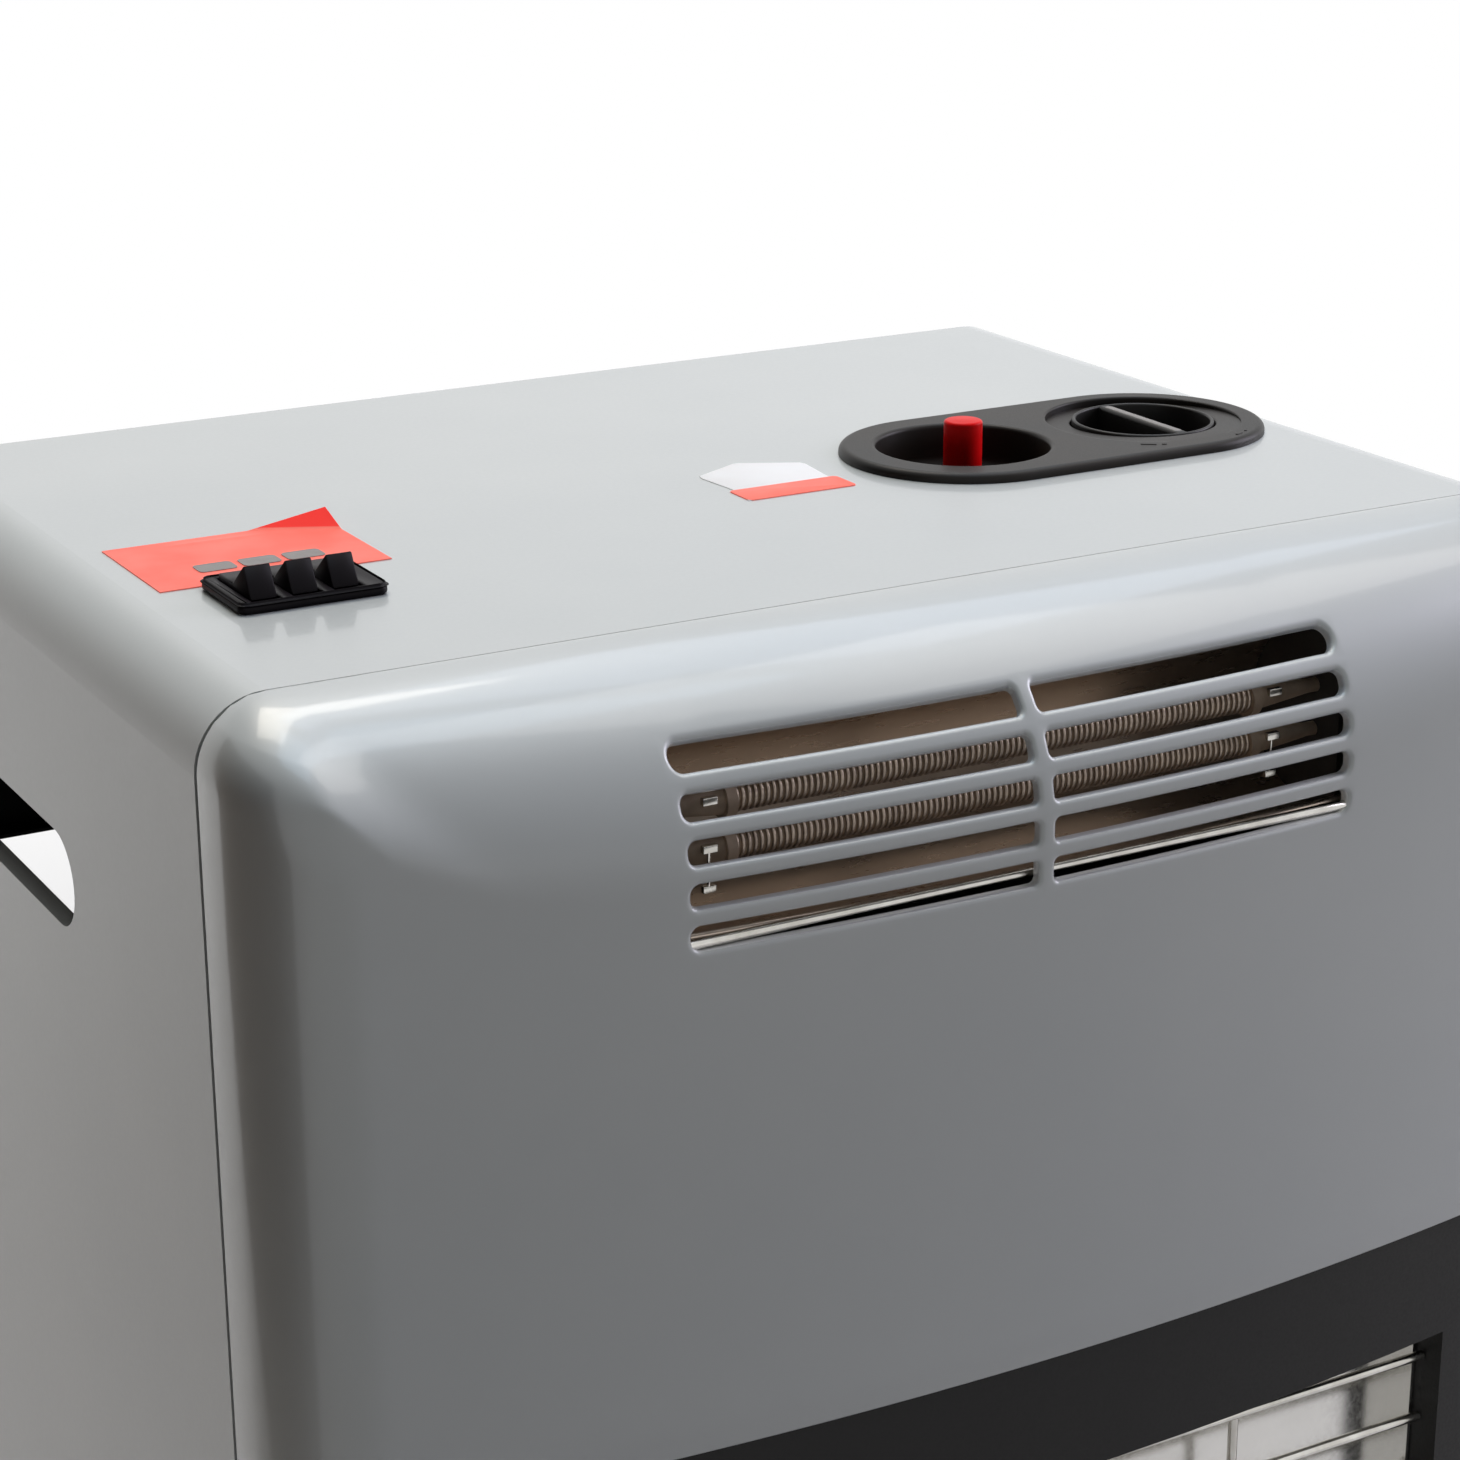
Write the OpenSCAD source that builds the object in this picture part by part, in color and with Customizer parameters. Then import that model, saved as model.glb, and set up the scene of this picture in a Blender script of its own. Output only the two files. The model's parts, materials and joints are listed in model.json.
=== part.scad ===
// Cabinet gas heater: a gas burner in front, two electric elements under the
// top edge, a bay for a gas bottle behind, and four casters.
// X runs across, -Y is the front, Z is up and the wheels stand on Z = 0.

/* [Cabinet] */
// Width over the two side panels
cabinet_w = 420; // [410:1:450]
// Height of the top panel above the ground
cabinet_h = 720; // [715:1:760]
// Depth of the housing from the front seam to its rear edge
body_d = 278; // [274:1:300]
// Thickness of the steel sheet
sheet_t = 1; // [0.8:0.1:1.3]
// Radius of the two long upper edges
edge_r = 19; // [18.5:0.5:24]
// Width of the flange at the front edge of the housing
front_flange = 12; // [9:1:14]
// Width of the lip at the rear edge of the housing
rear_lip = 14; // [13:1:16]

/* [Hand holes] */
// Height of a hand hole
hand_h = 28; // [24:1:34]
// Length of a hand hole
hand_l = 112; // [96:1:124]
// Distance from the seam to the front end of a hand hole
hand_y = 103; // [90:1:110]
// Distance from the top panel to the middle of a hand hole
hand_drop = 84; // [74:1:92]
// Depth of the flange turned in around a hand hole
hand_flange = 4.5; // [3:0.5:7]

/* [Front cover] */
// Height of the front cover
cover_h = 209; // [200:1:215]
// Reach of the cover in front of the seam, at its middle
cover_reach = 58; // [56:1:62]
// Radius of the bow of the front, seen from above
bow_r = 1250; // [1100:10:1400]
// Radius of the shoulder between top and front
shoulder_r = 53; // [50:0.5:54]
// Radius of the two upright edges of the cover
corner_r = 28; // [25:1:31]
// Gap between the housing and the front panels
seam_gap = 0.8; // [0.5:0.1:1.2]
// Width of the flange turned in at the edges of the front panels
panel_flange = 10; // [8:1:12]

/* [Grille] */
// Number of rows of slots
slot_rows = 5; // [3:1:5]
// Distance from one row to the next
slot_pitch = 11.1; // [10.6:0.1:11.6]
// Height of a slot
slot_h = 6.6; // [6:0.1:7.6]
// Distance from the middle of the grille to the outer ends of the slots
slot_half = 103; // [90:1:104]
// Width of the bar between the two columns
slot_bar = 5; // [4:0.5:9]
// Distance from the top panel to the middle of the first row
slot_drop = 20; // [18:0.5:21]
// Radius of the inner corners of a slot
slot_corner_r = 1.7; // [1:0.1:2.4]
// Thickness of the rim turned in around a slot
rim_t = 0.8; // [0.5:0.1:1]
// Depth of that rim behind the face
rim_d = 3; // [2:0.5:4]

/* [Electric elements] */
// Half length of the wound part
element_half = 81; // [70:1:84]
// Distance from the top panel to the upper element
element_drop = 37; // [36:0.5:39]
// Distance between the two elements
element_gap = 12.8; // [12:0.1:14]
// Distance of the elements in front of the seam
element_set = 33; // [31:0.5:35]
// Radius of the ceramic rod
rod_r = 3.3; // [2.6:0.1:3.6]
// Diameter of the heating wire
wire_d = 1.2; // [1:0.1:1.4]
// Turns of wire on one element
wire_turns = 40; // [30:1:42]
// Radius of the element terminals
pin_r = 2; // [1.6:0.1:2.2]
// Distance from the middle to the cheek plates
cheek_x = 106; // [104:1:112]
// Thickness of a cheek plate
cheek_t = 1.5; // [1:0.1:2.5]
// Radius of the reflector trough
trough_r = 26; // [25:0.5:27]
// Thickness of the reflector
trough_t = 0.8; // [0.5:0.1:1]
// Radius of the rolled lip of the reflector
lip_r = 1.2; // [1:0.1:1.5]

/* [Switches] */
// Distance of the switch frame from the middle of the cabinet
switch_x = 152.2; // [145:0.1:154]
// Distance of the switch frame behind the seam
switch_y = 76.3; // [74:0.1:78]
// Width of the switch frame
switch_w = 42.3; // [41:0.1:45]
// Length of the switch frame
switch_l = 31; // [30:0.1:34]
// Height of the switch frame above the top panel
switch_h = 3; // [2.5:0.1:4]
// Distance from one rocker to the next
rocker_pitch = 11.6; // [11.2:0.1:12]
// Width of a rocker
rocker_w = 7.6; // [7:0.1:8.2]
// Half length of a rocker at its upper corners
rocker_half = 10; // [9.4:0.1:10]
// Height of the upper corners above the pivot
rocker_top = 10.4; // [10.2:0.1:11.4]
// Tilt of a rocker to either side
rocker_tilt = 19; // [15:0.5:19]
// Radius of the rocker pin
rocker_pin_r = 1.2; // [1:0.1:1.5]
// Depth of the switch block under the top panel
switch_block_d = 28; // [22:1:34]

/* [Gas control] */
// Distance of the igniter dish from the middle of the cabinet
dish_x = 85; // [82:0.5:86]
// Distance of the knob from the middle of the cabinet
knob_x = 153.3; // [152:0.1:156]
// Distance of the control panel behind the seam
control_y = 115.5; // [110:0.5:120]
// Radius of the ends of the control panel
bezel_r = 38.5; // [37:0.5:41]
// Height of the control panel above the top panel
bezel_h = 3; // [2.5:0.1:4]
// Radius of the igniter dish
dish_r = 27; // [26:0.5:29]
// Depth of the igniter dish below the top panel
dish_d = 12; // [9:0.5:16]
// Wall of the dish and of the knob well
well_t = 1.6; // [1.2:0.1:2.2]
// Radius of the igniter button
button_r = 6; // [5:0.1:7]
// Height of the button above the top panel
button_top = 10.9; // [9:0.1:12]
// Travel of the button
button_travel = 6; // [4:0.5:7]
// Radius of the gas knob
knob_r = 22.6; // [21:0.1:23.6]
// Wall of the gas knob
knob_wall = 1.2; // [1:0.1:1.8]
// Depth of the finger wells in the knob
finger_d = 14; // [10:0.5:15]
// Width of the grip bar
grip_w = 4; // [3:0.1:6]
// Travel of the knob when it is pushed
knob_travel = 4; // [3:0.5:5]
// Radius of the sloping seat around the knob
seat_r = 31; // [29:0.5:33]
// Slope of that seat towards the rear, in degrees
seat_tilt = 2.4; // [1.5:0.1:2.6]
// Radius of the valve spindle
spindle_r = 4; // [3.5:0.1:4.5]
// Radius of the gas inlet, a quarter inch pipe thread
inlet_r = 6.58; // [6:0.01:7]
// Free length of the gas inlet
inlet_l = 18; // [14:1:26]
// Radius of the feed pipe to the burner
pipe_r = 4; // [3:0.1:4.5]

/* [Burner] */
// Half width of the burner window
window_half = 160; // [158:1:164]
// Distance from the cover's lower edge to the window
window_drop = 40; // [36:1:46]
// Height of the burner window
window_h = 235; // [228:1:242]
// Step of the black surround behind the cover's face
surround_step = 3; // [2:0.5:4]
// Height of the burner box
burner_h = 132; // [120:1:140]
// Depth of the burner box
burner_d = 34; // [30:1:36]
// Thickness of the ceramic plaques
plaque_t = 12; // [10:1:14]
// Radius of the guard wires
guard_wire_r = 1.5; // [1.2:0.1:2]
// Number of level guard wires
guard_rows = 11; // [7:1:13]

/* [Lower and rear panels] */
// Height of the lower front panel
lower_h = 145; // [138:1:150]
// Height of the upper rear panel
rear_panel_h = 126; // [120:1:132]
// Height of the rear cover
rear_cover_h = 430; // [400:1:440]
// Bulge of the rear cover behind the housing
rear_bulge = 42; // [34:1:48]
// Half width of the bulge
bulge_half = 165; // [150:1:175]
// Radius of the upright edges of the bulge
bulge_r = 30; // [24:1:33]
// Thickness of the black panels
surround_t = 1.2; // [1:0.1:1.5]
// Radius of the pegs of the rear cover
peg_r = 2.5; // [2:0.1:3]
// Distance of the pegs from the ends of the rear cover
peg_in = 60; // [40:1:80]
// Radius of the screws of the upper rear panel
screw_r = 1.5; // [1.2:0.1:1.9]
// Distance of the upper screws from the top panel
screw_drop = 55; // [45:1:65]
// Distance of the mains gland from the middle of the cabinet
gland_x = 150; // [140:1:160]
// Distance of the mains gland from the top panel
gland_drop = 100; // [94:1:106]
// Bore of the mains gland
gland_bore_r = 3.6; // [3:0.1:4]
// Radius of the neck of the mains gland
gland_neck_r = 6.5; // [5.5:0.1:7.5]
// Length of a vent in the rear cover
cover_vent = 40; // [34:1:46]
// Length of a vent in the upper rear panel
panel_vent = 24; // [18:1:28]
// Radius of the hole for the gas hose in the upper rear panel
hose_hole_r = 16; // [13:0.5:18]
// Radius of the raised round seat of the gas bottle
bottle_r = 122; // [110:1:126]
// Height of that seat above the floor pan
bottle_rise = 3; // [2:0.5:4]

/* [Film and labels] */
// Thickness of the film and the label
film_t = 0.3; // [0.2:0.05:0.4]
// Distance of the film's left edge from the middle of the cabinet
film_x = 184; // [180:1:188]
// Width of the red film
film_w = 67; // [60:1:70]
// Distance of the film's rear edge behind the seam
film_y = 139.5; // [134:0.5:150]
// Size of the corner that is peeled up
film_fold = 18; // [14:1:22]
// Width of the label
label_w = 37; // [30:1:44]
// Length of the label
label_l = 41; // [36:1:50]
// Distance of the label's front edge behind the seam
label_y = 98; // [90:1:110]

/* [Casters] */
// Radius of a wheel
wheel_r = 20; // [18:0.5:22]
// Width of a wheel
wheel_w = 16; // [12:0.5:20]
// Distance of the wheel's axle behind the swivel
trail = 14; // [10:0.5:16]
// Radius of the axle
axle_r = 3; // [2.5:0.1:3.5]
// Radius of the swivel stem
stem_r = 5; // [4:0.1:6]
// Distance of a caster from the side of the cabinet
caster_in = 40; // [40:1:48]

/* [Hidden] */

$fn = 64;
// Steps round the very large bow
bow_fn = 720;
// Clearance between pieces that are set into each other
clear = 0.3;
// Running clearance of pins and axles
run = 0.05;
// Clearance of a pin that sits tight in its seat
snug = 0.02;
// Clearance of a screw in its hole
screw_play = 0.2;
// How far a rounded edge stands past its neighbour, so that the two surfaces cross
proud = 0.25;
// A length longer than any piece, for cuts that run out
far = 900;

// Parts of a caster, from the pan down to the wheel
plate_t = 2;
boss_h = 8;
fork_t = 2;
fork_gap = 3;
swivel_gap = 0.3;
wheel_play = 0.6;
floor_z = 2 * wheel_r + fork_gap + fork_t + swivel_gap + boss_h + plate_t;
total_d = cover_reach + body_d + rear_bulge;
seam_y = cover_reach - total_d / 2;
half_w = cabinet_w / 2;
// Centre of the bow, behind the seam
bow_y = bow_r - cover_reach;
// Lower edges of the pieces, measured down from the top panel
bottom_z = floor_z - cabinet_h;
lower_top_z = bottom_z + lower_h;
// Front face of the heat shield, and the floor pan's sheet and rim
shield_y = 12;
pan_t = 2;
pan_rim = 15;
bottle_y = (shield_y + body_d) / 2 + 3;
// Burner window and box
window_top = -cover_h - window_drop;
window_bottom = window_top - window_h;
burner_mid = (window_top + window_bottom) / 2;
burner_half = window_half - 4;
burner_front = shield_y - clear - burner_d;
burner_top = burner_mid + burner_h / 2;
burner_bottom = burner_mid - burner_h / 2;
burner_wall = 1.2;
// Pilot burner, and the probe and the electrode beside it
pilot_x = 60;
pilot_z = burner_bottom - 26;
pilot_r = 3;
pilot_y = burner_front - 6.5;
probe_x = 15;
probe_r = 1.7;
spark_r = 2.3;
// Fixings at the rear, as heights
peg_rows = [bottom_z + peg_in, bottom_z + rear_cover_h - peg_in];
screw_rows = [-screw_drop, -rear_panel_h + 15];
rear_fix_x = half_w - rear_lip / 2;
rear_face = body_d - sheet_t;
// Feed pipe and valve
pipe_x = knob_x - 5;
pipe_y = -8;
valve_z = -32;
valve_h = 44;
valve_half = 16;
pipe_z = valve_z - valve_h / 2 - 6;
plug_r = 7;
knob_bottom = bezel_h - finger_d - 4;
spindle_low = valve_z - 12;
// Middle of the reflector's round, and where it ends below and above, in degrees
trough_mid_y = 36;
trough_mid_z = -46;
lip_angle = -52;
upper_angle = 125;
// Cheek plates of the elements, as heights
cheek_low = -78;
cheek_top = -18;
// Igniter
button_play = 0.15;
body_tube_h = 34;
tube_low = -dish_d - well_t - body_tube_h;
// Rocker pivot above the top panel
pivot_z = -2.4;
rocker_mid = switch_x + 1.1;
// Height of the peeled corner of the film
film_peel = 4.6;
// Caster places, and the screws of a caster's plate
plate_hole = 17;
plate_screw_r = 1.8;
caster_x = half_w - caster_in;
caster_front = seam_y + 10;
caster_rear = seam_y + body_d - caster_in;

// Moves a piece from its own measures, taken from the middle of the seam's top
// edge, to the frame of the whole heater
module at_seam() {
  translate([0, seam_y, cabinet_h]) children();
}

// Extrudes an outline drawn as x and height, from depth y0 to depth y1
module along_y(y0, y1) {
  translate([0, y1, 0]) rotate([90, 0, 0]) linear_extrude(y1 - y0) children();
}

// Extrudes an outline drawn as depth and height, from x0 to x1
module along_x(x0, x1) {
  translate([x0, 0, 0]) rotate([90, 0, 90]) linear_extrude(x1 - x0) children();
}

// A pin along X
module pin_x(x0, x1, r) {
  translate([x0, 0, 0]) rotate([0, 90, 0]) cylinder(h = x1 - x0, r = r);
}

// A pin along Y
module pin_y(y0, y1, r) {
  translate([0, y1, 0]) rotate([90, 0, 0]) cylinder(h = y1 - y0, r = r);
}

// Copies a piece to the left and to the right
module both_sides() {
  for (side = [0, 1]) mirror([side, 0, 0]) children();
}

// Front view of the housing at a depth of inset inside its skin
module wrap_outline(inset, low) {
  r = edge_r - inset;
  translate([-half_w + inset, low]) square([cabinet_w - 2 * inset, -edge_r - low]);
  translate([-half_w + edge_r, low]) square([cabinet_w - 2 * edge_r, -inset - low]);
  for (side = [-1, 1]) translate([side * (half_w - edge_r), -edge_r]) circle(r);
}

// Plan of the front pieces without their bow: it shapes the two upright corners.
// The corner circles stand a little past the bow, so that they cross it.
module plan_corners(inset, back) {
  reach = bow_r - corner_r + proud;
  corner_x = half_w - corner_r;
  corner_y = bow_y - sqrt(reach * reach - corner_x * corner_x);
  touch_x = corner_x * (bow_r - inset) / (bow_r - corner_r);
  translate([-touch_x, -cover_reach - 10]) square([2 * touch_x, cover_reach + 10 + back]);
  for (side = [-1, 1]) translate([side * corner_x, corner_y]) circle(corner_r - inset);
  translate([-half_w + inset, corner_y]) square([cabinet_w - 2 * inset, back - corner_y]);
}

// Plan of the bowed front, from its face to a line at depth back
module plan_outline(inset, back) {
  intersection() {
    translate([0, bow_y]) circle(bow_r - inset, $fn = bow_fn);
    plan_corners(inset, back);
    // The corner circles end at the rear line too
    translate([-half_w - 1, -cover_reach - 1]) square([cabinet_w + 2, cover_reach + 1 + back]);
  }
}

// A bar with round ends, level, its middle at the origin
module stadium(length, r) {
  square([length - 2 * r, 2 * r], center = true);
  for (side = [-1, 1]) translate([side * (length / 2 - r), 0]) circle(r);
}

module hand_hole(grow) {
  translate([hand_y + hand_l / 2, -hand_drop]) stadium(hand_l + 2 * grow, hand_h / 2 + grow);
}

// Plan of the control panel
module bezel_plan(grow) {
  mid = (dish_x + knob_x) / 2;
  translate([mid, control_y]) stadium(knob_x - dish_x + 2 * (bezel_r + grow), bezel_r + grow);
}

// Top panel and both sides, bent from one sheet
module housing_wrap() {
  color("#cdd1cf") at_seam() difference() {
    union() {
      along_y(0, body_d) difference() {
        wrap_outline(0, bottom_z);
        wrap_outline(sheet_t, bottom_z - 1);
      }
      along_y(0, sheet_t) difference() {
        wrap_outline(sheet_t / 2, bottom_z + pan_rim + 4);
        wrap_outline(front_flange, bottom_z - 1);
      }
      along_y(body_d - sheet_t, body_d) difference() {
        wrap_outline(sheet_t / 2, bottom_z);
        wrap_outline(rear_lip, bottom_z - 1);
      }
      both_sides() along_x(half_w - hand_flange - sheet_t, half_w - sheet_t / 2) hand_hole(sheet_t);
    }
    both_sides() along_x(half_w - hand_flange - sheet_t - 1, half_w + 1) hand_hole(0);
    // Opening under the control panel
    translate([0, 0, -sheet_t - 1]) linear_extrude(sheet_t + 2) {
      bezel_plan(-bezel_r + dish_r + well_t + clear);
    }
    // Opening for the switch block
    translate([-switch_x, switch_y, 0]) cube([switch_w - 3, switch_l - 1, 2 * sheet_t + 1], center = true);
    // Holes for the pegs of the rear cover
    both_sides() for (z = peg_rows) translate([rear_fix_x, body_d, z]) pin_y(-3, 1, peg_r + clear);
    // Holes for the screws of the upper rear panel
    both_sides() for (z = screw_rows) translate([rear_fix_x, body_d, z]) pin_y(-3, 1, screw_r + screw_play);
  }
}

// Section of the front cover against its distance from the centre of the bow
module cover_section(inset) {
  edge = bow_r - shoulder_r;
  r = shoulder_r - inset;
  translate([edge - 100, -cover_h - 10]) square([100, cover_h + 20]);
  translate([edge, -shoulder_r + proud]) circle(r, $fn = 96);
  translate([edge - 1, -cover_h - 10]) square([r + 1, cover_h + 10 - shoulder_r + proud]);
}

// Front view of the cover: it only shapes the two upper corners
module cover_front(inset, low) {
  mid = half_w - edge_r + proud;
  translate([-mid, low]) square([2 * mid, -inset - low]);
  for (side = [-1, 1]) translate([side * mid, -edge_r]) circle(edge_r - inset);
  translate([-half_w - 5, low]) square([cabinet_w + 10, -edge_r - low]);
}

module cover_solid(inset, back, low) {
  intersection() {
    translate([0, bow_y, 0]) rotate_extrude($fn = bow_fn) cover_section(inset);
    along_y(-cover_reach - 20, back) cover_front(inset, low);
    translate([0, 0, -cover_h - 20]) linear_extrude(cover_h + 40) plan_corners(inset, back + 5);
  }
}

// One slot of the right column, grown by a margin
module slot(grow) {
  high = slot_h / 2 + grow;
  inner = slot_bar / 2 - grow;
  outer = slot_half + grow;
  r = slot_corner_r + grow;
  translate([inner + r, -high]) square([outer - high - inner - r, 2 * high]);
  translate([inner, -high + r]) square([r + 1, 2 * (high - r)]);
  for (side = [-1, 1]) translate([inner + r, side * (high - r)]) circle(r, $fn = 24);
  translate([outer - high, 0]) circle(high, $fn = 32);
}

module slots(grow) {
  for (side = [0, 1]) mirror([side, 0]) for (row = [0 : slot_rows - 1]) {
    translate([0, -slot_drop - row * slot_pitch]) slot(grow);
  }
}

// Pressed front cover with the grille
module front_cover() {
  back = -seam_gap;
  color("#b4bbc1") at_seam() difference() {
    union() {
      difference() {
        cover_solid(0, back, -cover_h);
        cover_solid(sheet_t, back - sheet_t, -cover_h + sheet_t);
      }
      // Rims turned in around the slots
      intersection() {
        translate([0, bow_y, 0]) rotate_extrude($fn = bow_fn) difference() {
          cover_section(sheet_t / 2);
          cover_section(rim_d);
        }
        along_y(-cover_reach - 1, -cover_reach / 2) slots(rim_t);
      }
    }
    along_y(-cover_reach - 1, -cover_reach / 2 - 1) slots(0);
    // Open rear, inside the flange
    along_y(back - sheet_t - 1, back + 1) wrap_outline(panel_flange, -cover_h - 1);
    // Open underside, inside the flange
    translate([0, 0, -cover_h - 1]) linear_extrude(sheet_t + 2) plan_outline(panel_flange, back + 2);
  }
}

// A bowed front panel from z0 up to z1, with flanges turned in at top and foot
module front_panel(inset, t, z0, z1, foot) {
  back = -seam_gap;
  difference() {
    translate([0, 0, z0]) linear_extrude(z1 - z0) plan_outline(inset, back);
    translate([0, 0, z0 + foot]) linear_extrude(z1 - z0 - foot - t) plan_outline(inset + t, back - t);
    translate([0, 0, z0 - 1]) linear_extrude(z1 - z0 + 2) plan_outline(inset + panel_flange, back + 1);
    if (foot == 0) {
      translate([0, 0, z0 - 1]) linear_extrude(2) plan_outline(inset + t, back - t);
    }
  }
}

// Black surround of the burner window, with the tunnel back to the heat shield
module burner_surround() {
  low = lower_top_z;
  top = -cover_h;
  color("#171615") at_seam() {
    difference() {
      union() {
        front_panel(surround_step, surround_t, low, top, surround_t);
        intersection() {
          translate([0, 0, low]) linear_extrude(top - low) {
            plan_outline(surround_step + surround_t / 2, shield_y - clear);
          }
          along_y(-cover_reach, shield_y) translate([0, burner_mid]) {
            square([2 * (window_half + surround_t), window_h + 2 * surround_t], center = true);
          }
        }
      }
      along_y(-cover_reach - 1, shield_y + 1) translate([0, burner_mid]) {
        square([2 * window_half, window_h], center = true);
      }
      translate([pipe_x, pipe_y, window_top - 5]) cylinder(h = 10, r = pipe_r + clear);
    }
  }
}

module lower_panel() {
  color("#a9afb4") at_seam() difference() {
    front_panel(0, sheet_t, bottom_z, lower_top_z, 0);
    // Room for the rim of the floor pan
    translate([0, 0, bottom_z - 1]) linear_extrude(pan_rim + 2) plan_outline(sheet_t, 1);
  }
}

// Wall between the front space and the bottle bay
module heat_shield() {
  inset = sheet_t + clear;
  low = bottom_z + pan_t + 0.1;
  color("#9a9b98") at_seam() difference() {
    union() {
      along_y(shield_y, shield_y + 1) wrap_outline(inset, low);
      along_y(shield_y, shield_y + 12) difference() {
        wrap_outline(inset, low + pan_rim + 3);
        wrap_outline(inset + 1, low);
      }
    }
    // Room for the rim of the floor pan
    both_sides() along_y(shield_y - 1, shield_y + 2) translate([half_w - inset - 3, low - 1]) {
      square([10, pan_rim + 3]);
    }
    translate([pipe_x, 0, pipe_z]) pin_y(shield_y - 1, shield_y + 2, pipe_r + clear);
  }
}

// Tray that closes the cabinet below and carries the bottle
module floor_pan() {
  inset = sheet_t + clear;
  back = body_d - sheet_t - clear;
  color("#8f9190") translate([0, seam_y, floor_z]) difference() {
    union() {
      linear_extrude(pan_t) plan_outline(inset, back);
      difference() {
        linear_extrude(pan_rim) plan_outline(inset, back);
        translate([0, 0, -1]) linear_extrude(pan_rim + 2) plan_outline(inset + 1.2, back - 1.2);
      }
      translate([0, bottle_y, 0]) cylinder(h = pan_t + bottle_rise, r = bottle_r, $fn = 96);
    }
    // The bottle's seat is pressed up, so it is hollow below
    translate([0, bottle_y, -1]) cylinder(h = bottle_rise + 1, r = bottle_r - pan_t, $fn = 96);
    // Passage in the rim for the foot of the bottle
    translate([-bulge_half, back - 5, pan_t + 2]) cube([2 * bulge_half, 10, pan_rim]);
    translate([0, -seam_y, 0]) caster_screw_places() translate([0, 0, -1]) {
      cylinder(h = pan_t + 2, r = plate_screw_r + screw_play);
    }
  }
}

module upper_rear_panel() {
  face = rear_face;
  color("#161616") at_seam() difference() {
    union() {
      along_y(face - surround_t, face) wrap_outline(sheet_t + clear, -rear_panel_h);
      along_y(face - 12, face) difference() {
        wrap_outline(sheet_t + clear, -rear_panel_h);
        wrap_outline(sheet_t + clear, -rear_panel_h + surround_t);
      }
    }
    both_sides() for (z = screw_rows) translate([rear_fix_x, face, z]) pin_y(-3, 1, screw_r + screw_play);
    translate([-gland_x, 0, -gland_drop]) pin_y(face - 3, face + 1, gland_neck_r + clear);
    // The gas hose passes here, in line with the inlet
    translate([knob_x, 0, pipe_z]) pin_y(face - 3, face + 1, hose_hole_r);
    // Two rows of vents
    for (row = [0, 1]) for (i = [-3 : 3]) translate([i * (panel_vent + 10), 0, -48 - row * 22]) {
      along_y(face - 3, face + 1) stadium(panel_vent, 2.5);
    }
  }
}

// Ring that guides the mains lead through the upper rear panel
module mains_gland() {
  face = rear_face;
  color("#1c1c1c") at_seam() translate([-gland_x, 0, -gland_drop]) difference() {
    union() {
      pin_y(face - 5, face + 5, gland_neck_r);
      pin_y(face, face + 2, gland_neck_r + 3);
      pin_y(face - surround_t - 2, face - surround_t, gland_neck_r + 2);
    }
    pin_y(face - 6, face + 6, gland_bore_r);
  }
}

module rear_screws() {
  head_r = screw_r + 1.7;
  color("#8a8c8e") at_seam() both_sides() for (z = screw_rows) translate([rear_fix_x, 0, z]) difference() {
    union() {
      pin_y(body_d - 8, body_d + 0.1, screw_r);
      pin_y(body_d, body_d + 1.8, head_r);
    }
    along_y(body_d + 1, body_d + 3) square([0.8, 1.4 * head_r], center = true);
    along_y(body_d + 1, body_d + 3) square([1.4 * head_r, 0.8], center = true);
  }
}

// Plan of the bulge of the rear cover
module bulge_plan(inset) {
  w = bulge_half - inset;
  r = bulge_r - inset;
  d = rear_bulge - inset;
  translate([-w, 0]) square([2 * w, rear_bulge - bulge_r]);
  translate([-bulge_half + bulge_r, 0]) square([2 * (bulge_half - bulge_r), d]);
  for (side = [-1, 1]) translate([side * (bulge_half - bulge_r), rear_bulge - bulge_r]) circle(r);
}

// Cover over the bottle, pulled off to the rear
module rear_cover() {
  base = body_d + clear;
  low = bottom_z + 4;
  flange = half_w - 2;
  color("#a4a9ad") at_seam() {
    difference() {
      union() {
        along_y(base, base + sheet_t) translate([-flange, low]) square([2 * flange, rear_cover_h]);
        translate([0, base, low + 12]) linear_extrude(rear_cover_h - 24) intersection() {
          bulge_plan(0);
          translate([-far / 2, 0]) square([far, rear_bulge - clear]);
        }
        both_sides() for (z = peg_rows) translate([rear_fix_x, 0, z]) pin_y(body_d - 8, base + 0.5, peg_r);
      }
      translate([0, base - 1, low + 12 + sheet_t]) linear_extrude(rear_cover_h - 24 - 2 * sheet_t) {
        translate([0, 1 - clear]) bulge_plan(sheet_t);
        translate([-bulge_half + sheet_t, -2]) square([2 * (bulge_half - sheet_t), 4]);
      }
      // Vents near the upper edge
      for (row = [0 : 4]) for (col = [-2 : 2]) {
        translate([col * (cover_vent + 12), body_d + rear_bulge, low + rear_cover_h - 60 - row * 14]) {
          along_y(-5, 5) stadium(cover_vent, 3);
        }
      }
    }
  }
}

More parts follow.
